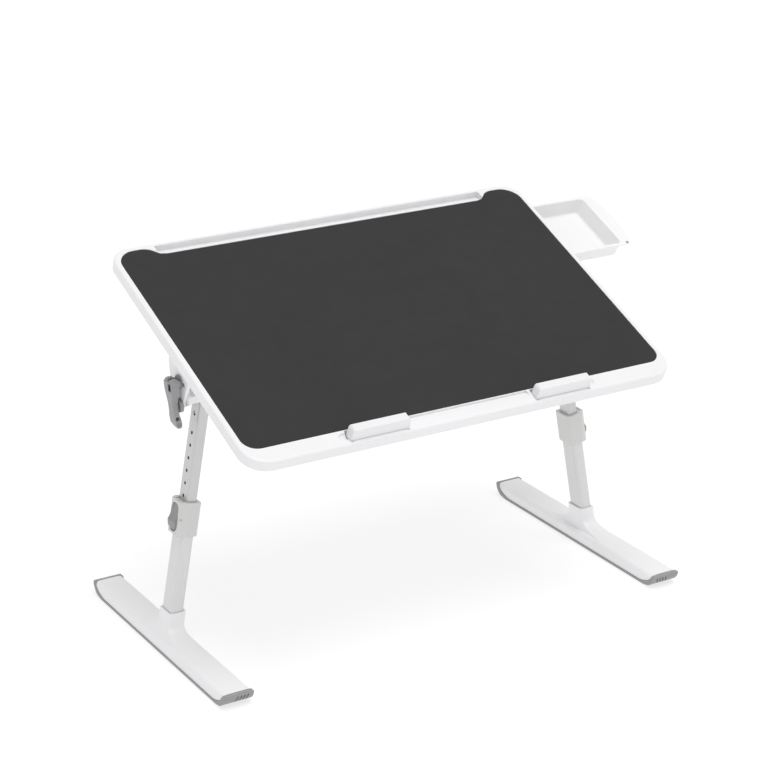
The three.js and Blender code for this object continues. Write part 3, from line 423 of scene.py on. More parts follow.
def makeDeskFrame():
    edge, front, rear = desk["edge"], desk["frontCorner"], desk["rearCorner"]
    body = thicken(drawn([
        (-halfWide, -halfDeep, front), (halfWide, -halfDeep, front), (halfWide, halfDeep, rear),
        (-halfWide, halfDeep, rear)], desk["cornerSegments"]), -edge, 0)
    roundEdges(body, desk["topRound"], 6, lambda e: levelEdge(e, 0))
    roundEdges(body, desk["underRound"], 4, lambda e: levelEdge(e, -edge))
    recess = thicken(panelOutline(desk["recessGap"]), -desk["recessFloor"], past)
    window = thicken(panelOutline(-desk["ledge"]), -edge - past, -desk["recessFloor"] + past)
    slotHalf, slotRear = desk["slotLength"] / 2, halfDeep - desk["slotRearWall"]
    slot = slab(-slotHalf, slotHalf, slotRear - desk["slotWidth"], slotRear, -desk["slotDepth"], past,
                desk["slotCorner"], segments=5)
    roundEdges(slot, desk["slotRound"], 3, lambda e: levelEdge(e, -desk["slotDepth"]))
    pocketFront, pocketRear = (place - halfDeep for place in desk["pocketWalls"])
    pocketMiddle = (pocketFront + pocketRear) / 2
    grooveFront, grooveHalf = pocketRear - desk["grooveWidth"], desk["grooveLength"] / 2
    groove = wall(flatOutline([
        (pocketRear, -desk["grooveDepth"]), (pocketRear, past), (grooveFront, past), (grooveFront, 0)]),
        -grooveHalf, grooveHalf)
    tools = [recess, window, slot, groove]
    inner, outer = desk["stopperEnds"]
    lugFront, lugLong, lugDeep = desk["lugRoom"]
    for sign in (-1, 1):
        low, high = sorted((sign * inner, sign * outer))
        tools.append(slab(low, high, pocketFront, pocketRear, -desk["pocketDepth"], past,
                          desk["pocketCorner"], segments=3))
        tools.append(rod(desk["hingeHole"], low - desk["hingeReach"], high + desk["hingeReach"], 20, "X",
                         (desk["hingeIn"] - halfDeep, -desk["hingeDrop"])))
        for near, far in ((inner, inner + lugLong), (outer - lugLong, outer)):
            low, high = sorted((sign * near, sign * far))
            tools.append(slab(low, high, lugFront - halfDeep, pocketFront + into, -lugDeep, past))
        scoop = bmesh.new()
        bmesh.ops.create_uvsphere(scoop, u_segments=32, v_segments=20, radius=1)
        bmesh.ops.scale(scoop, vec=(desk["scoopLength"], desk["scoopWidth"] / 2, desk["scoopDepth"]),
                        verts=scoop.verts)
        bmesh.ops.translate(scoop, verts=scoop.verts, vec=(sign * outer, pocketMiddle, 0))
        tools.append(scoop)
    return carve(body, *tools)


addPiece("deskFrame", makeDeskFrame(), deskSpace, "tabletop", "white", ["desk_frame"], edge=0.3)
mat = thicken(panelOutline(0), -matDrop - desk["matThickness"], -matDrop)
addPiece("deskMat", mat, deskSpace, "tabletop", "mat", ["desk_mat"], edge=0.35, segments=2)
dressNode("desk_board", "board", 0.4)
print("top made")


# The two stoppers, drawn with the hinge line at the origin

stopper = {
    "length": 78, "front": 0.5, "rear": 12.2, "base": 0.5, "frontTop": 17.3, "rearTop": 18.3,
    "frontRound": 1.2, "rearRound": 1.8, "frontFoot": 0.5, "rearFoot": 1.2,
    "endDrop": 4.6, "endIn": 3.6, "endRound": 2.2, "endOver": 1,  # the end outline's overrun
    "pin": 1.2, "pinEnd": 42.3, "lugWide": 2.2, "lugFront": -1.3, "lugLow": -1.4, "lugHigh": 1.3,
}


def makeStopper():
    s = stopper
    half, soft = s["length"] / 2, s["endRound"]
    body = wall(drawn([
        (s["front"], s["base"], s["frontFoot"]), (s["rear"], s["base"], s["rearFoot"]),
        (s["rear"], s["rearTop"], s["rearRound"]), (s["front"], s["frontTop"], s["frontRound"])]),
        -half, half)
    low, top = s["base"] - s["endOver"], s["rearTop"] + s["endOver"]
    shoulder, tip = top - s["endDrop"], half - s["endIn"]
    ends = plate(drawn([
        (-half, low, 0), (half, low, 0), (half, shoulder, soft), (tip, top, soft), (-tip, top, soft),
        (-half, shoulder, soft)]), -past, s["rear"] + past)
    body = keep(body, ends)
    inner = half - s["lugWide"]
    lugs = [slab(low, high, s["lugFront"], s["front"] + into, s["lugLow"], s["lugHigh"])
            for low, high in ((-half, -inner), (inner, half))]
    pins = [rod(s["pin"], low, high, 20, "X") for low, high in ((inner, s["pinEnd"]), (-s["pinEnd"], -inner))]
    return fuse(body, *lugs, *pins)


for side, sign in sides.items():
    place = sign * sum(desk["stopperEnds"]) / 2
    hinge = deskSpace @ Matrix.Translation(
        Vector((place, desk["hingeIn"] - halfDeep, -desk["hingeDrop"])) * mm)
    addPiece("stopper_" + side + "_shell", makeStopper(), hinge, "stopper_" + side + "_body", "frosted",
             ["stopper_" + side], edge=0.8, segments=4, flip=sign < 0)
print("stoppers made")


# The drawer and its pip

drawer = {
    "heel": 227, "tip": 417, "front": 59.5, "rear": 168.5, "top": -17, "flange": 2, "flangeWide": 2.5,
    "bow": 7, "bowPoints": 12, "bowCorner": 8, "heelCorner": 0.5, "endFlange": 14,
    "wall": 2.2, "floor": 1.8, "depth": 22, "tubSunk": 0.6, "cavityOver": 2,
    "corner": 9, "sideDraft": 7, "endDraft": 20, "outerEndDraft": 4, "bottomRound": 2.6,
    "lipSunk": 0.5, "lipDeep": 5.5, "lipThick": 2, "lipLong": 30, "lipFrom": 67, "lipTo": 161, "lipCut": 40,
}
pip = {"x": 404.5, "y": 62.25, "radius": 2, "high": 0.65, "sunk": 0.02}


def makeTub(x0, x1, y0, y1, corner, high, low, endDraft):
    # a tub's form: its outline at the drawer's top narrows downwards by the drafts
    side = math.tan(math.radians(drawer["sideDraft"]))
    end = math.tan(math.radians(endDraft))
    bm = thicken(rectangle(x0, x1, y0, y1, corner, 10), low, high)
    for level in (low, high):
        down = drawer["top"] - level
        verts = [vert for vert in bm.verts if abs(vert.co.z - level) < 0.01]
        longShare = 1 - (side + end) * down / (x1 - x0)
        wideShare = 1 - 2 * side * down / (y1 - y0)
        bmesh.ops.translate(bm, verts=verts, vec=(-x0, -(y0 + y1) / 2, 0))
        bmesh.ops.scale(bm, verts=verts, vec=(longShare, wideShare, 1))
        bmesh.ops.translate(bm, verts=verts, vec=(x0 + side * down, (y0 + y1) / 2, 0))
    return roundEdges(bm, drawer["bottomRound"], 6, lambda e: levelEdge(e, low), 20)


def makeDrawer():
    d = drawer
    top, steps = d["top"], d["bowPoints"]
    bow = []
    for step in range(steps + 1):
        share = step / steps
        x = d["tip"] - d["bow"] * (2 * share - 1) ** 2
        bow.append((x, d["front"] + share * (d["rear"] - d["front"])))
    corners = [(d["heel"], d["front"]), *bow, (d["heel"], d["rear"])]
    rounds = [d["heelCorner"], d["bowCorner"], *[0] * (steps - 1), d["bowCorner"], d["heelCorner"]]
    flange = thicken(flatOutline(corners, rounds, 10), top - d["flange"], top)
    lip = thicken(flatOutline(corners, rounds, 10), top - d["lipDeep"], top - d["lipSunk"])
    behind = [(x - d["lipThick"], y) for x, y in bow]
    start, front, rear = d["heel"] - past, d["front"] - past, d["rear"] + past
    inside = thicken(flatOutline([
        (start, front), (behind[0][0], front), *behind, (behind[-1][0], rear), (start, rear)]),
        top - d["lipCut"], top + past)
    lip = keep(carve(lip, inside), slab(d["tip"] - d["lipLong"], d["tip"] + past, d["lipFrom"], d["lipTo"],
                                        top - d["lipCut"], top + past))
    wallFront, wallRear = d["front"] + d["flangeWide"], d["rear"] - d["flangeWide"]
    cavityEnd = d["tip"] - d["bow"] - d["endFlange"]
    tub = makeTub(d["heel"], cavityEnd + d["wall"], wallFront, wallRear, d["corner"],
                  top - d["tubSunk"], top - d["depth"], d["outerEndDraft"])
    cavity = makeTub(d["heel"] + d["wall"], cavityEnd, wallFront + d["wall"], wallRear - d["wall"],
                     d["corner"] - d["wall"], top + d["cavityOver"], top - d["depth"] + d["floor"],
                     d["endDraft"])
    return carve(fuse(flange, tub, lip), cavity)


# the tray takes the lighter copy of the white plastic, painted light for its shaded walls
addPiece("drawerTray", makeDrawer(), deskSpace, "drawer", "drawer", ["drawer_tray"], edge=0.6, segments=3)
pipShape = rod(pip["radius"], drawer["top"] - pip["sunk"], drawer["top"] + pip["high"], 28,
               at=(pip["x"], pip["y"]))
addPiece("drawerPip", pipShape, deskSpace, "drawer", "grey", ["drawer_pip"], edge=0.3)
print("drawer made")


# The sector plates under the top

sector = {
    "outer": 288, "thick": 4, "pivot": (-9.7, -69), "headFront": -29.2, "headRear": 39.8, "headLow": -16.05,
    "plateFront": -21.4, "waistFront": (-7.6, 4, 3), "waistRear": (35.5, 13, 16), "tip": 8.4,
    "tipTurns": (-22.5, 150), "flangeWide": 44, "flangeThick": 3, "flangeCorner": 2.5,
    "slotRadius": 25, "slotHalf": 3.4, "slotTurns": (51, 93), "slotPast": 2, "hole": 4.3,
    "spacer": 5, "spacerTop": -11.8, "screwX": (266, 249.3), "screwY": (-19.5, 30.2), "screwHole": 1.9,
    "screwLong": 20, "ribs": (-20, 5.3, 30.5), "ribThick": 2.4, "ribLong": 26, "ribFoot": 3, "ribDeep": 16,
    "ribRound": 2, "ribInto": 0.5,
}


def makeSector():
    s = sector
    py, pz = s["pivot"]
    outer, inner = s["outer"], s["outer"] - s["thick"]

    def roundPivot(radius, degrees):
        angle = math.radians(degrees)
        return py + radius * math.cos(angle), pz + radius * math.sin(angle)

    waists = [(py + y, pz + z, soft) for y, z, soft in (s["waistRear"], s["waistFront"])]
    tips = [(*roundPivot(s["tip"], degrees), 0) for degrees in s["tipTurns"]]
    body = wall(drawn([
        (s["plateFront"], s["headLow"], 0), (s["headRear"], s["headLow"], 0),
        waists[0], tips[0], (py, pz, 0), tips[1], waists[1]]), inner, outer)
    flangeLow = s["headLow"] - s["flangeThick"]
    flange = slab(outer - s["flangeWide"], outer, s["headFront"], s["headRear"], flangeLow, s["headLow"],
                  s["flangeCorner"])
    parts = [rod(s["tip"], inner, outer, 64, "X", s["pivot"]), flange]
    ribX, ribTop, ribLow = inner + s["ribInto"], flangeLow + s["ribInto"], flangeLow - s["ribDeep"]
    for rib in s["ribs"]:
        parts.append(plate(drawn([
            (ribX, ribTop, 0), (inner - s["ribLong"], ribTop, 0),
            (inner - s["ribFoot"], ribLow, s["ribRound"]), (ribX, ribLow, 0)]),
            rib - s["ribThick"] / 2, rib + s["ribThick"] / 2))
    spots = [(x, y) for x in s["screwX"] for y in s["screwY"]]
    parts += [rod(s["spacer"], flangeLow, s["spacerTop"], 32, at=spot) for spot in spots]
    cuts = [rod(s["screwHole"], flangeLow - s["screwLong"], 0, 20, at=spot) for spot in spots]
    cuts.append(rod(s["hole"], inner - past, outer + past, 40, "X", s["pivot"]))
    slotFrom, slotTo = (math.radians(degrees) for degrees in s["slotTurns"])
    slotIn, slotOut = inner - s["slotPast"], outer + s["slotPast"]
    slot = rectangle(slotIn, slotOut, s["slotRadius"] - s["slotHalf"], s["slotRadius"] + s["slotHalf"], 0)
    bmesh.ops.rotate(slot, verts=slot.verts, matrix=Matrix.Rotation(slotFrom, 3, "X"))
    bmesh.ops.spin(slot, geom=slot.verts[:] + slot.edges[:] + slot.faces[:], cent=(0, 0, 0), axis=(1, 0, 0),
                   angle=slotTo - slotFrom, steps=24, use_merge=False)
    bmesh.ops.translate(slot, verts=slot.verts, vec=(0, py, pz))
    bmesh.ops.recalc_face_normals(slot, faces=slot.faces)
    cuts.append(slot)
    cuts += [rod(s["slotHalf"], slotIn, slotOut, 32, "X", roundPivot(s["slotRadius"], degrees))
             for degrees in s["slotTurns"]]
    return carve(fuse(body, *parts), *cuts)


for side, sign in sides.items():
    addPiece("sectorPlate_" + side, makeSector(), deskSpace, "tabletop", "white", ["sector_plate_" + side],
             edge=0.35, segments=2, flip=sign < 0)
print("sector plates made")


# The tilt brackets, their pivot caps, washers and cam levers, drawn round the tilt pivot

bracket = {
    "outer": 283.7, "thick": 4, "half": 15.3, "foot": -6.8, "footHalf": 5.5, "shoulder": 13, "crown": (25, 9),
    "corner": 1, "footRound": 5, "shoulderRound": 4,
    "foldX": 257.5, "foldZ": 8, "knuckle": 6.6, "earIn": 12.3, "earBack": 5, "earRound": 1.5,
    "barLow": -0.2, "barHigh": 8.7, "gussetDeep": 4, "gussetLong": (14, 6), "gussetTip": (2, 0.4, 2),
    "stopX": 266.2, "stopThick": 3, "stopLow": 1.5, "webThick": 2.4,
    "pivotHole": 4.3, "clampHole": 3.3, "foldHole": 2.8,
}


def makeBracket():
    b = bracket
    half, outer, inner, web = b["half"], b["outer"], b["outer"] - b["thick"], b["outer"] - b["thick"] + into
    barLow, barHigh, corner = b["barLow"], b["barHigh"], b["corner"]
    foot, footHalf, footRound = b["foot"], b["footHalf"], b["footRound"]
    shoulder, shoulderRound = b["shoulder"], b["shoulderRound"]
    crownUp, crownRadius = b["crown"]
    foldX, foldZ = b["foldX"], b["foldZ"]
    body = wall(drawn([
        (-half, barLow, corner), (-footHalf, foot, footRound), (footHalf, foot, footRound),
        (half, barLow, corner), (half, barHigh, corner), (crownRadius, shoulder, shoulderRound),
        (crownRadius, crownUp, 0), (-crownRadius, crownUp, 0), (-crownRadius, shoulder, shoulderRound),
        (-half, barHigh, corner)]), inner, outer)
    parts = [rod(crownRadius, inner, outer, 56, "X", (0, crownUp))]
    long, longRound = b["gussetLong"]
    tip, tipDrop, tipRound = b["gussetTip"]
    gussetLow = barHigh - b["gussetDeep"]
    for low, high in ((-half, -b["earIn"]), (b["earIn"], half)):
        parts.append(plate(rectangle(foldX - b["earBack"], web, barLow, barHigh, b["earRound"]), low, high))
        parts.append(rod(b["knuckle"], low, high, 40, "Y", (foldX, foldZ)))
        parts.append(plate(drawn([
            (foldX, gussetLow, 0), (web, gussetLow, 0), (foldX + long, barHigh, longRound),
            (foldX + tip, foldZ + b["knuckle"] - tipDrop, tipRound)]), low, high))
    stopX = b["stopX"]
    parts.append(slab(stopX, stopX + b["stopThick"], -half, half, b["stopLow"], barHigh))
    parts.append(slab(stopX, web, -half, half, barHigh - b["webThick"], barHigh))
    return carve(
        fuse(body, *parts),
        rod(b["pivotHole"], inner - past, outer + past, 40, "X"),
        rod(b["clampHole"], inner - past, outer + past, 32, "X", (0, crownUp)),
        rod(b["foldHole"], -half - past, half + past, 32, "Y", (foldX, foldZ)))


cap = {
    "inner": 288.3, "thick": 3.9, "radius": 7.4, "drop": 4.4, "boss": 4.4, "shift": -4.4, "round": 1.4,
    "dish": (3.6, 0.7), "bolt": 4, "nut": 7, "nutInner": 275, "nutOuter": 279.4,
}


def makePivotCap():
    c = cap
    low, high, middle = c["inner"], c["inner"] + c["thick"], (c["shift"], -c["drop"])
    lobe = rod(c["radius"], low, high, 48, "X", middle)
    boss = rod(c["boss"], low, high, 48, "X")
    waist = wall(flatOutline([
        (-c["boss"], 0), (c["shift"] - c["radius"], -c["drop"]), (c["shift"] + c["radius"], -c["drop"]),
        (c["boss"], 0)]), low, high)
    head = roundEdges(fuse(lobe, boss, waist), c["round"], 4, lambda e: levelEdge(e, high, 0))
    dish, dishDeep = c["dish"]
    head = carve(head, rod(dish, high - dishDeep, high + past, 36, "X", middle))
    bolt = rod(c["bolt"], c["nutInner"], low + into, 32, "X")
    nut = rod(c["nut"], c["nutInner"], c["nutOuter"], 6, "X")
    return fuse(head, bolt, nut)


washer = {"inner": 288.3, "thick": 2.1, "radius": 9, "hole": 3.3, "up": 25, "step": (6.2, 0.5)}


def makeWasher():
    w = washer
    high, middle = w["inner"] + w["thick"], (0, w["up"])
    step, stepDown = w["step"]
    ring = rod(w["radius"], w["inner"], high - stepDown, 56, "X", middle)
    raised = rod(step, w["inner"], high, 48, "X", middle)
    return carve(fuse(ring, raised), rod(w["hole"], w["inner"] - past, high + past, 32, "X", middle))


lever = {
    "pinX": 297.5, "pinZ": 25, "head": 6.3, "headIn": 0.5, "blank": 15, "reach": 20,
    "side": (  # seen from the front, outboard to the right: across, up, round
        (-3.1, 2, 0), (6.3, 2, 0), (5.9, -10, 14), (2.8, -28, 20), (1.9, -42, 14), (0.2, -51, 8),
        (-4.6, -59, 3), (-8.4, -57.5, 3.4), (-7.6, -47, 4), (-4.6, -38, 6), (-4.2, -24, 12), (-3.1, -12, 10)),
    "face": (  # half of the outline seen from outboard
        (10, 6.3, 2.6), (10, -9, 8), (6.2, -24, 12), (6.2, -36, 12), (7.6, -46, 8), (7.6, -59, 7.2)),
    "fork": 3.4, "forkWall": 4.8, "forkLow": -8.5, "window": (-8.4, -0.4, -9, 1),
    "pinHole": 2.2, "pinEnd": 9.7, "eye": (2.3, -2.8, -44.5), "dimple": (3.6, -3.8, -51.8, 8.9),
}


def makeLever():
    k = lever
    blank, reach = k["blank"], k["reach"]
    body = fuse(plate(drawn(k["side"]), -blank, blank),
                rod(k["head"], -blank, blank, 56, "Y", (-k["headIn"], 0)))
    first, *others = [(-y, z, soft) for y, z, soft in k["face"]]
    body = keep(body, wall(drawn([first, *k["face"], *reversed(others)]), -reach, reach))
    front, rear, windowLow, windowHigh = k["window"]
    eye, eyeX, eyeZ = k["eye"]
    dimple, dimpleX, dimpleZ, dimpleOut = k["dimple"]
    hollows = []
    for end in (-1, 1):
        for x, z in ((eyeX, eyeZ), (dimpleX, dimpleZ)):
            ball = bmesh.new()
            bmesh.ops.create_uvsphere(ball, u_segments=36, v_segments=20, radius=dimple)
            bmesh.ops.translate(ball, verts=ball.verts, vec=(x, end * dimpleOut, z))
            hollows.append(ball)
    return carve(
        body,
        slab(-reach, k["forkWall"], -k["fork"], k["fork"], k["forkLow"], reach),
        slab(k["forkWall"] - into, reach, front, rear, windowLow, windowHigh),
        rod(k["pinHole"], -k["pinEnd"], k["pinEnd"], 32, "Y"),
        rod(eye, -reach, reach, 32, "Y", (eyeX, eyeZ)),
        *hollows)


for side, sign in sides.items():
    body, mirrored = "bracket_" + side, sign < 0
    addPiece("tiltBracket_" + side, makeBracket(), bracketSpace, body, "white", ["tilt_bracket_" + side],
             edge=0.6, flip=mirrored)
    addPiece("pivotCap_" + side, makePivotCap(), bracketSpace, body, "button", ["pivot_bolt_" + side],
             edge=0.3, flip=mirrored)
    addPiece("clampWasher_" + side, makeWasher(), bracketSpace, body, "grey", ["clamp_washer_" + side],
             edge=0.35, flip=mirrored)
    pinSpace = bracketSpace @ Matrix.Translation(Vector((sign * lever["pinX"], 0, lever["pinZ"])) * mm)
    addPiece("camLever_" + side, makeLever(), pinSpace, "lever_" + side, "grey", ["cam_lever_" + side],
             edge=0.9, segments=4, flip=mirrored)
print("brackets and levers made")


# The telescopic legs, drawn in the leg's own frame

innerTube = {
    "x": 14, "y": 23, "corner": 3, "wall": 1.2, "top": -8.6, "bottom": -219, "drill": (2, 12),
    "holes": 10, "firstHole": -53, "pitch": 16, "hole": 2.2, "topHole": (3.1, -28.5),
}
outerTube = {
    "x": 17.5, "y": 27, "corner": 4.4, "wall": 1.3, "top": -141.4, "bottom": -323.1, "drill": (2, 14),
    "pegHole": (2.8, -149),
}


def tubeBar(tube, grow, low, high):
    x, y = tube["x"] / 2 + grow, tube["y"] / 2 + grow
    return slab(-x, x, -y, y, low, high, tube["corner"] + grow, 8)


def makeTube(tube, holes):
    # each hole in the outboard face is given as (radius, place)
    low, high = tube["bottom"], tube["top"]
    cuts = [rod(radius, *tube["drill"], 28, "X", (0, place)) for radius, place in holes]
    return carve(tubeBar(tube, 0, low, high), tubeBar(tube, -tube["wall"], low - past, high + past), *cuts)


def makeInnerTube():
    t = innerTube
    lockHoles = [(t["hole"], t["firstHole"] - i * t["pitch"]) for i in range(t["holes"])]
    return makeTube(t, [t["topHole"], *lockHoles])


def makeOuterTube():
    return makeTube(outerTube, [outerTube["pegHole"]])


collar = {
    "top": -138, "bottom": -181, "inX": -11.2, "flank": 9.4, "nose": 15.7, "half": 15.5, "noseHalf": 11.2,
    "corner": 2.4, "flankRound": 0.8, "noseRound": 1.4, "cap": 3, "tubeGap": 0.3, "innerGap": 0.45,
    "recess": (5.6, 13.4, 9), "recessDeep": 1.3, "recessCorner": 2, "pocketX": 8.9, "pinHole": 1.35,
    "ribs": 4, "ribPitch": 3.4, "ribFirst": -6.5, "ribWide": 0.7, "ribDeep": 0.12, "ribEnd": 4,
}
rocker = {
    "top": -142.6, "bottom": -177.6, "topHalf": 8, "lowHalf": 9, "shoulder": -164, "rounds": (6.6, 4.8, 8.6),
    "gap": 0.5, "pivot": (13, -160), "pinHole": 1.5, "peg": (2, 7.3, 13, -149), "reach": (20, 40),
    "side": (  # seen from the front, outboard to the right: across, up, round
        (10.6, -142.6, 0.3), (14.2, -142.6, 1), (13.6, -155, 12), (19.2, -165, 8), (17.9, -173, 5),
        (14.4, -177.6, 1.5), (12.4, -177.6, 0.5), (12.4, -170, 3), (10.6, -162, 3)),
}


def rockerFace(grow):
    # the outline that the rocker and, a little larger, the collar's pocket share
    r = rocker
    topHalf, lowHalf, shoulder = r["topHalf"] + grow, r["lowHalf"] + grow, r["shoulder"]
    top, bottom = r["top"] + grow, r["bottom"] - grow
    topRound, shoulderRound, lowRound = r["rounds"]
    return drawn([
        (-topHalf, top, topRound), (topHalf, top, topRound), (lowHalf, shoulder, shoulderRound),
        (lowHalf, bottom, lowRound), (-lowHalf, bottom, lowRound), (-lowHalf, shoulder, shoulderRound)], 12)


def makeCollar():
    c = collar
    top, bottom, half, noseHalf = c["top"], c["bottom"], c["half"], c["noseHalf"]
    inX, flank, nose = c["inX"], c["flank"], c["nose"]
    body = thicken(drawn([
        (inX, -half, c["corner"]), (flank, -half, c["flankRound"]), (nose, -noseHalf, c["noseRound"]),
        (nose, noseHalf, c["noseRound"]), (flank, half, c["flankRound"]), (inX, half, c["corner"])], 6),
        bottom, top)
    recessIn, recessOut, recessHalf = c["recess"]
    cuts = [
        tubeBar(outerTube, c["tubeGap"], bottom - past, top - c["cap"]),
        tubeBar(innerTube, c["innerGap"], top - c["cap"] - past, top + past),
        slab(recessIn, recessOut, -recessHalf, recessHalf, top - c["recessDeep"], top + past,
             c["recessCorner"]),
        wall(rockerFace(rocker["gap"]), c["pocketX"], nose + past),
        rod(c["pinHole"], -half - past, half + past, 24, "Y", rocker["pivot"]),
    ]
    for i in range(c["ribs"]):
        x = c["ribFirst"] + i * c["ribPitch"]
        for end in (-1, 1):
            low, high = sorted((end * (half - c["ribDeep"]), end * (half + past)))
            cuts.append(slab(x, x + c["ribWide"], low, high, bottom + c["ribEnd"], top - c["ribEnd"]))
    return carve(body, *cuts)


def makeRocker():
    r = rocker
    across, out = r["reach"]
    radius, pegIn, pegOut, place = r["peg"]
    body = keep(plate(drawn(r["side"], 12), -across, across), wall(rockerFace(0), 0, out))
    return carve(fuse(body, rod(radius, pegIn, pegOut, 28, "X", (0, place))),
                 rod(r["pinHole"], -across, across, 24, "Y", r["pivot"]))


for side, sign in sides.items():
    space, mirrored = legSpace(side), sign < 0
    upper, lower = "upper_leg_" + side, "lower_leg_" + side
    addPiece("innerTube_" + side, makeInnerTube(), space, upper, "innerTube", ["inner_tube_" + side],
             edge=0.2, segments=2, flip=mirrored)
    addPiece("outerTube_" + side, makeOuterTube(), space, lower, "tube", ["outer_tube_" + side],
             edge=0.3, segments=2, flip=mirrored)
    addPiece("legCollar_" + side, makeCollar(), space, lower, "collar", ["leg_collar_" + side],
             edge=0.5, flip=mirrored)
    addPiece("lockButton_" + side, makeRocker(), space, "button_" + side, "button", ["lock_button_" + side],
             edge=1.1, segments=4, flip=mirrored)
print("legs made")


# The feet, drawn on the ground

foot = {
    "inner": 292.6, "width": 40, "length": 368, "top": 19, "crown": 0.1, "topRound": 5, "crownRound": 9,
    "shoulderDrop": 0.5, "sole": 3.6, "gap": 0.3, "soleSide": 0.8, "soleCorner": 0.8, "capRound": 3,
    "tipRise": 18.8, "tipRun": 13.5, "tipThick": 5.2, "tipLead": 8,
    "soleRounds": (10, 9, 1, 7),  # at the bend, the knee, the tip and inside
    "shellRounds": (7, 0.2, 0.6), "shellLean": 0.3,
    "hubTop": 50, "hubWall": 2.4, "hubFlare": 72, "hubFrom": 18.6, "hubUnder": 2, "hubInset": 5,
    "hubCorner": 14, "hubSteps": 28, "hubSpacing": 1.8, "hubCurve": 7, "socketGap": 0.5,
    "slits": 4, "slitWidth": 1.8, "slitPitch": 4.6, "slitHeight": 9, "slitDeep": 3, "slitSlant": 20,
    "slitShift": -5, "slitLow": 5.6,
}
footHalf = foot["length"] / 2
footOuter = foot["inner"] + foot["width"]
footBend = footHalf - foot["tipRun"]
footKnee, kneeUp = footBend + foot["tipRun"] * 2 / 3, foot["tipRise"] / 4
footTool = footSpace.inverted() @ legSpace("right")
footTool.translation /= mm
legLean = footTool.to_3x3() @ worldZ


def bothEnds(rear):
    # a foot's side outline from the corners of its rear end
    return drawn([(-y, z, soft) for y, z, soft in reversed(rear)] + rear)


def makeSole():
    f = foot
    rise, thick, inner = f["tipRise"], f["tipThick"], f["inner"]
    bendRound, kneeRound, tipRound, insideRound = f["soleRounds"]
    body = wall(bothEnds([
        (footBend - f["tipLead"], 0, bendRound), (footKnee, kneeUp, kneeRound), (footHalf, rise, tipRound),
        (footHalf - thick, rise, tipRound), (footKnee - thick, kneeUp + thick, insideRound),
        (footBend - thick - f["tipLead"], f["sole"], insideRound)]), inner, footOuter)
    low, high = f["soleCorner"], f["capRound"]
    ends = plate(drawn([(inner, 0, low), (footOuter, 0, low), (footOuter, rise, high), (inner, rise, high)]),
                 -footHalf - past, footHalf + past)
    body = keep(body, ends)
    slope = (footHalf - footKnee) / (rise * 3 / 4)
    slant = Matrix.Rotation(math.radians(-f["slitSlant"]), 3, "Y")
    low, high, out = f["slitLow"], f["slitLow"] + f["slitHeight"], footHalf + past
    lowIn, highIn = (footKnee + slope * (z - kneeUp) - f["slitDeep"] for z in (low, high))
    centre = (inner + footOuter) / 2 + f["slitShift"]
    slits = []
    for i in range(f["slits"]):
        x = centre + (i - (f["slits"] - 1) / 2) * f["slitPitch"]
        for end in (-1, 1):
            slit = wall(flatOutline([
                (end * lowIn, low), (end * out, low), (end * out, high), (end * highIn, high)]),
                x - f["slitWidth"] / 2, x + f["slitWidth"] / 2)
            bmesh.ops.recalc_face_normals(slit, faces=slit.faces)
            bmesh.ops.rotate(slit, verts=slit.verts, cent=(x, 0, (low + high) / 2), matrix=slant)
            slits.append(slit)
    return carve(body, *slits)


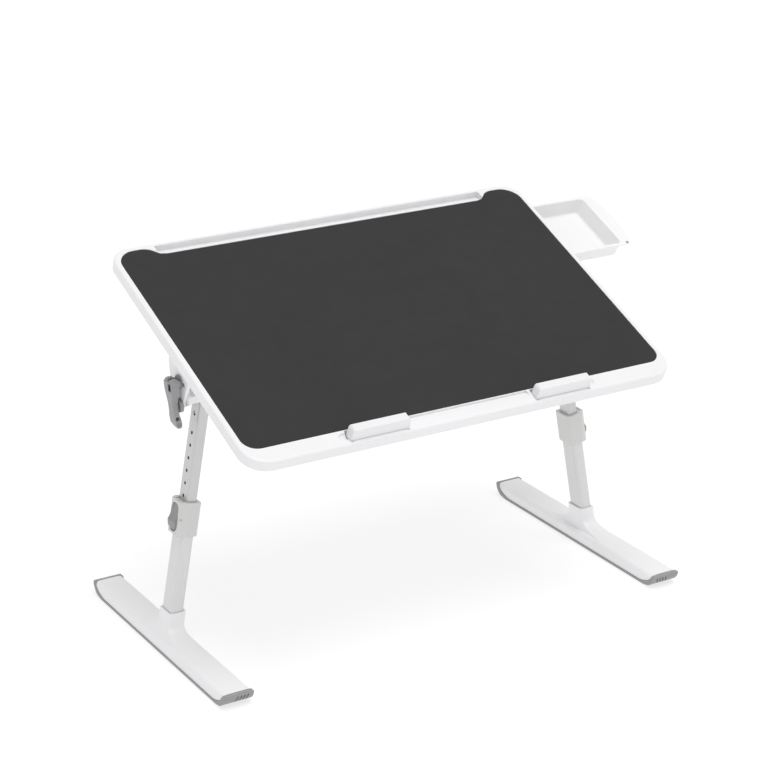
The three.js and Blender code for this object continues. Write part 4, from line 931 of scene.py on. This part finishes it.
def makeFootShell():
    f = foot
    gap, thick = f["gap"], f["tipThick"]
    inX, outX = f["inner"] + f["soleSide"], footOuter - f["soleSide"]
    floor, tip = f["sole"] + gap, footHalf - thick - gap
    insideRound, tipRound, topRound = f["shellRounds"]
    boat = wall(bothEnds([
        (footBend - thick - gap - f["tipLead"], floor, insideRound),
        (footKnee - thick - gap, kneeUp + thick + gap, insideRound),
        (tip, f["tipRise"], tipRound), (tip - f["shellLean"], f["top"], topRound)]), inX, outX)
    shoulder, crown = f["top"] - f["shoulderDrop"], f["top"] + f["crown"]
    section = plate(drawn([
        (inX, 0, 0), (outX, 0, 0), (outX, shoulder, f["topRound"]),
        ((inX + outX) / 2, crown, f["crownRound"]), (inX, shoulder, f["topRound"])]), -footHalf, footHalf)
    bar = keep(boat, section)
    neckX, neckY = outerTube["x"] / 2 + f["hubWall"], outerTube["y"] / 2 + f["hubWall"]
    start, steps, inset = f["hubFrom"], f["hubSteps"], f["hubInset"]

    def legX(z):
        return footTool.translation.x + (z - footTool.translation.z) * legLean.x / legLean.z

    def sectionAt(z):
        # the hub's low and high x and half width: wide at the foot, close round the tube at the top
        spread = (1 - (z - start) / (f["hubTop"] - start)) ** f["hubCurve"]
        low = legX(z) - neckX - (legX(start) - neckX - inX - inset) * spread
        high = legX(z) + neckX + (outX - inset - legX(start) - neckX) * spread
        return low, high, neckY + (f["hubFlare"] - neckY) * spread

    low, high, half = sectionAt(start)
    hub = rectangle(low, high, -half, half, f["hubCorner"], 10)
    bmesh.ops.translate(hub, verts=hub.verts, vec=(0, 0, start))
    top = hub.faces[:]
    under = bmesh.ops.extrude_face_region(hub, geom=top, use_keep_orig=True)
    moved = [part for part in under["geom"] if isinstance(part, bmesh.types.BMVert)]
    bmesh.ops.translate(hub, verts=moved, vec=(0, 0, floor + f["hubUnder"] - start))
    for step in range(steps):
        share = ((step + 1) / steps) ** f["hubSpacing"]
        z = start + (f["hubTop"] - start) * share
        lowNext, highNext, halfNext = sectionAt(z)
        made = bmesh.ops.extrude_face_region(hub, geom=top)
        bmesh.ops.delete(hub, geom=[face for face in top if face.is_valid], context="FACES_ONLY")
        moved = [part for part in made["geom"] if isinstance(part, bmesh.types.BMVert)]
        top = [part for part in made["geom"] if isinstance(part, bmesh.types.BMFace)]
        bmesh.ops.translate(hub, verts=moved, vec=(-(low + high) / 2, 0, z - moved[0].co.z))
        bmesh.ops.scale(hub, verts=moved, vec=((highNext - lowNext) / (high - low), halfNext / half, 1))
        bmesh.ops.translate(hub, verts=moved, vec=((lowNext + highNext) / 2, 0, 0))
        low, high, half = lowNext, highNext, halfNext
    bmesh.ops.recalc_face_normals(hub, faces=hub.faces)
    tubeEnd = outerTube["bottom"]
    socket = tubeBar(outerTube, f["socketGap"], tubeEnd - gap, tubeEnd + f["hubTop"] * 2)
    bmesh.ops.transform(socket, matrix=footTool, verts=socket.verts)
    return carve(fuse(bar, hub), socket)


for side, sign in sides.items():
    body, mirrored = "lower_leg_" + side, sign < 0
    addPiece("footShell_" + side, makeFootShell(), footSpace, body, "white", ["foot_shell_" + side],
             edge=0.7, segments=3, sharp=38, flip=mirrored)
    addPiece("footSole_" + side, makeSole(), footSpace, body, "sole", ["foot_sole_" + side],
             edge=0.5, segments=3, flip=mirrored)
print("feet made")


# Fasteners, pins, runners, glides, leg heads and springs keep their CAD shape

lookOf = {slot: look for look, slot in reversed(slots.items())}  # the first look that has each slot
for part in frame["record"]["subparts"]:
    if part["node"] not in finished:
        dressNode(part["node"], lookOf[part["material_slot"]])
print("small parts dressed")


# The floor and the light

studio = {
    "floor": 30,  # in metres, from the middle to each side
    "floorDrop": 0.2, "floorColour": (0.36, 0.36, 0.365), "floorRough": 0.7, "floorGlow": 0.66,
    "sky": {"horizon": 0.72, "zenith": 0.58},
    "sun": {"from": (0.05, -0.26, 1), "spread": 36, "strength": 1.44},
}
floorMesh = bmesh.new()
bmesh.ops.create_grid(floorMesh, x_segments=1, y_segments=1, size=studio["floor"])
bmesh.ops.translate(floorMesh, verts=floorMesh.verts, vec=(0, 0, -studio["floorDrop"] * mm))
floorData = bpy.data.meshes.new("floor")
floorMesh.to_mesh(floorData)
floorMesh.free()
floor = bpy.data.objects.new("floor", floorData)
bpy.context.collection.objects.link(floor)
glow = {"Emission Color": (1, 1, 1, 1), "Emission Strength": studio["floorGlow"]}
floorData.materials.append(newLook("paleFloor", studio["floorColour"], studio["floorRough"], **glow))

world = bpy.data.worlds.new("studio")
world.use_nodes = True
backdrop = world.node_tree.nodes["Background"]
backdrop.inputs["Color"].default_value = (1, 1, 1, 1)
skyPlace = addNode(world, "ShaderNodeTexCoord")
skyAxes = addNode(world, "ShaderNodeSeparateXYZ")
skyLevel = addNode(world, "ShaderNodeMapRange")
skyLevel.inputs["To Min"].default_value = studio["sky"]["horizon"]
skyLevel.inputs["To Max"].default_value = studio["sky"]["zenith"]
world.node_tree.links.new(skyPlace.outputs["Generated"], skyAxes.inputs["Vector"])
world.node_tree.links.new(skyAxes.outputs["Z"], skyLevel.inputs["Value"])
world.node_tree.links.new(skyLevel.outputs["Result"], backdrop.inputs["Strength"])
bpy.context.scene.world = world
bpy.context.scene.view_settings.view_transform = "Standard"

lamp = studio["sun"]
sun = bpy.data.lights.new("softSun", "SUN")
sun.energy, sun.angle = lamp["strength"], math.radians(lamp["spread"])
sunObject = bpy.data.objects.new("softSun", sun)
sunObject.rotation_euler = Vector(lamp["from"]).to_track_quat("Z", "Y").to_euler()
bpy.context.collection.objects.link(sunObject)
print("studio made")
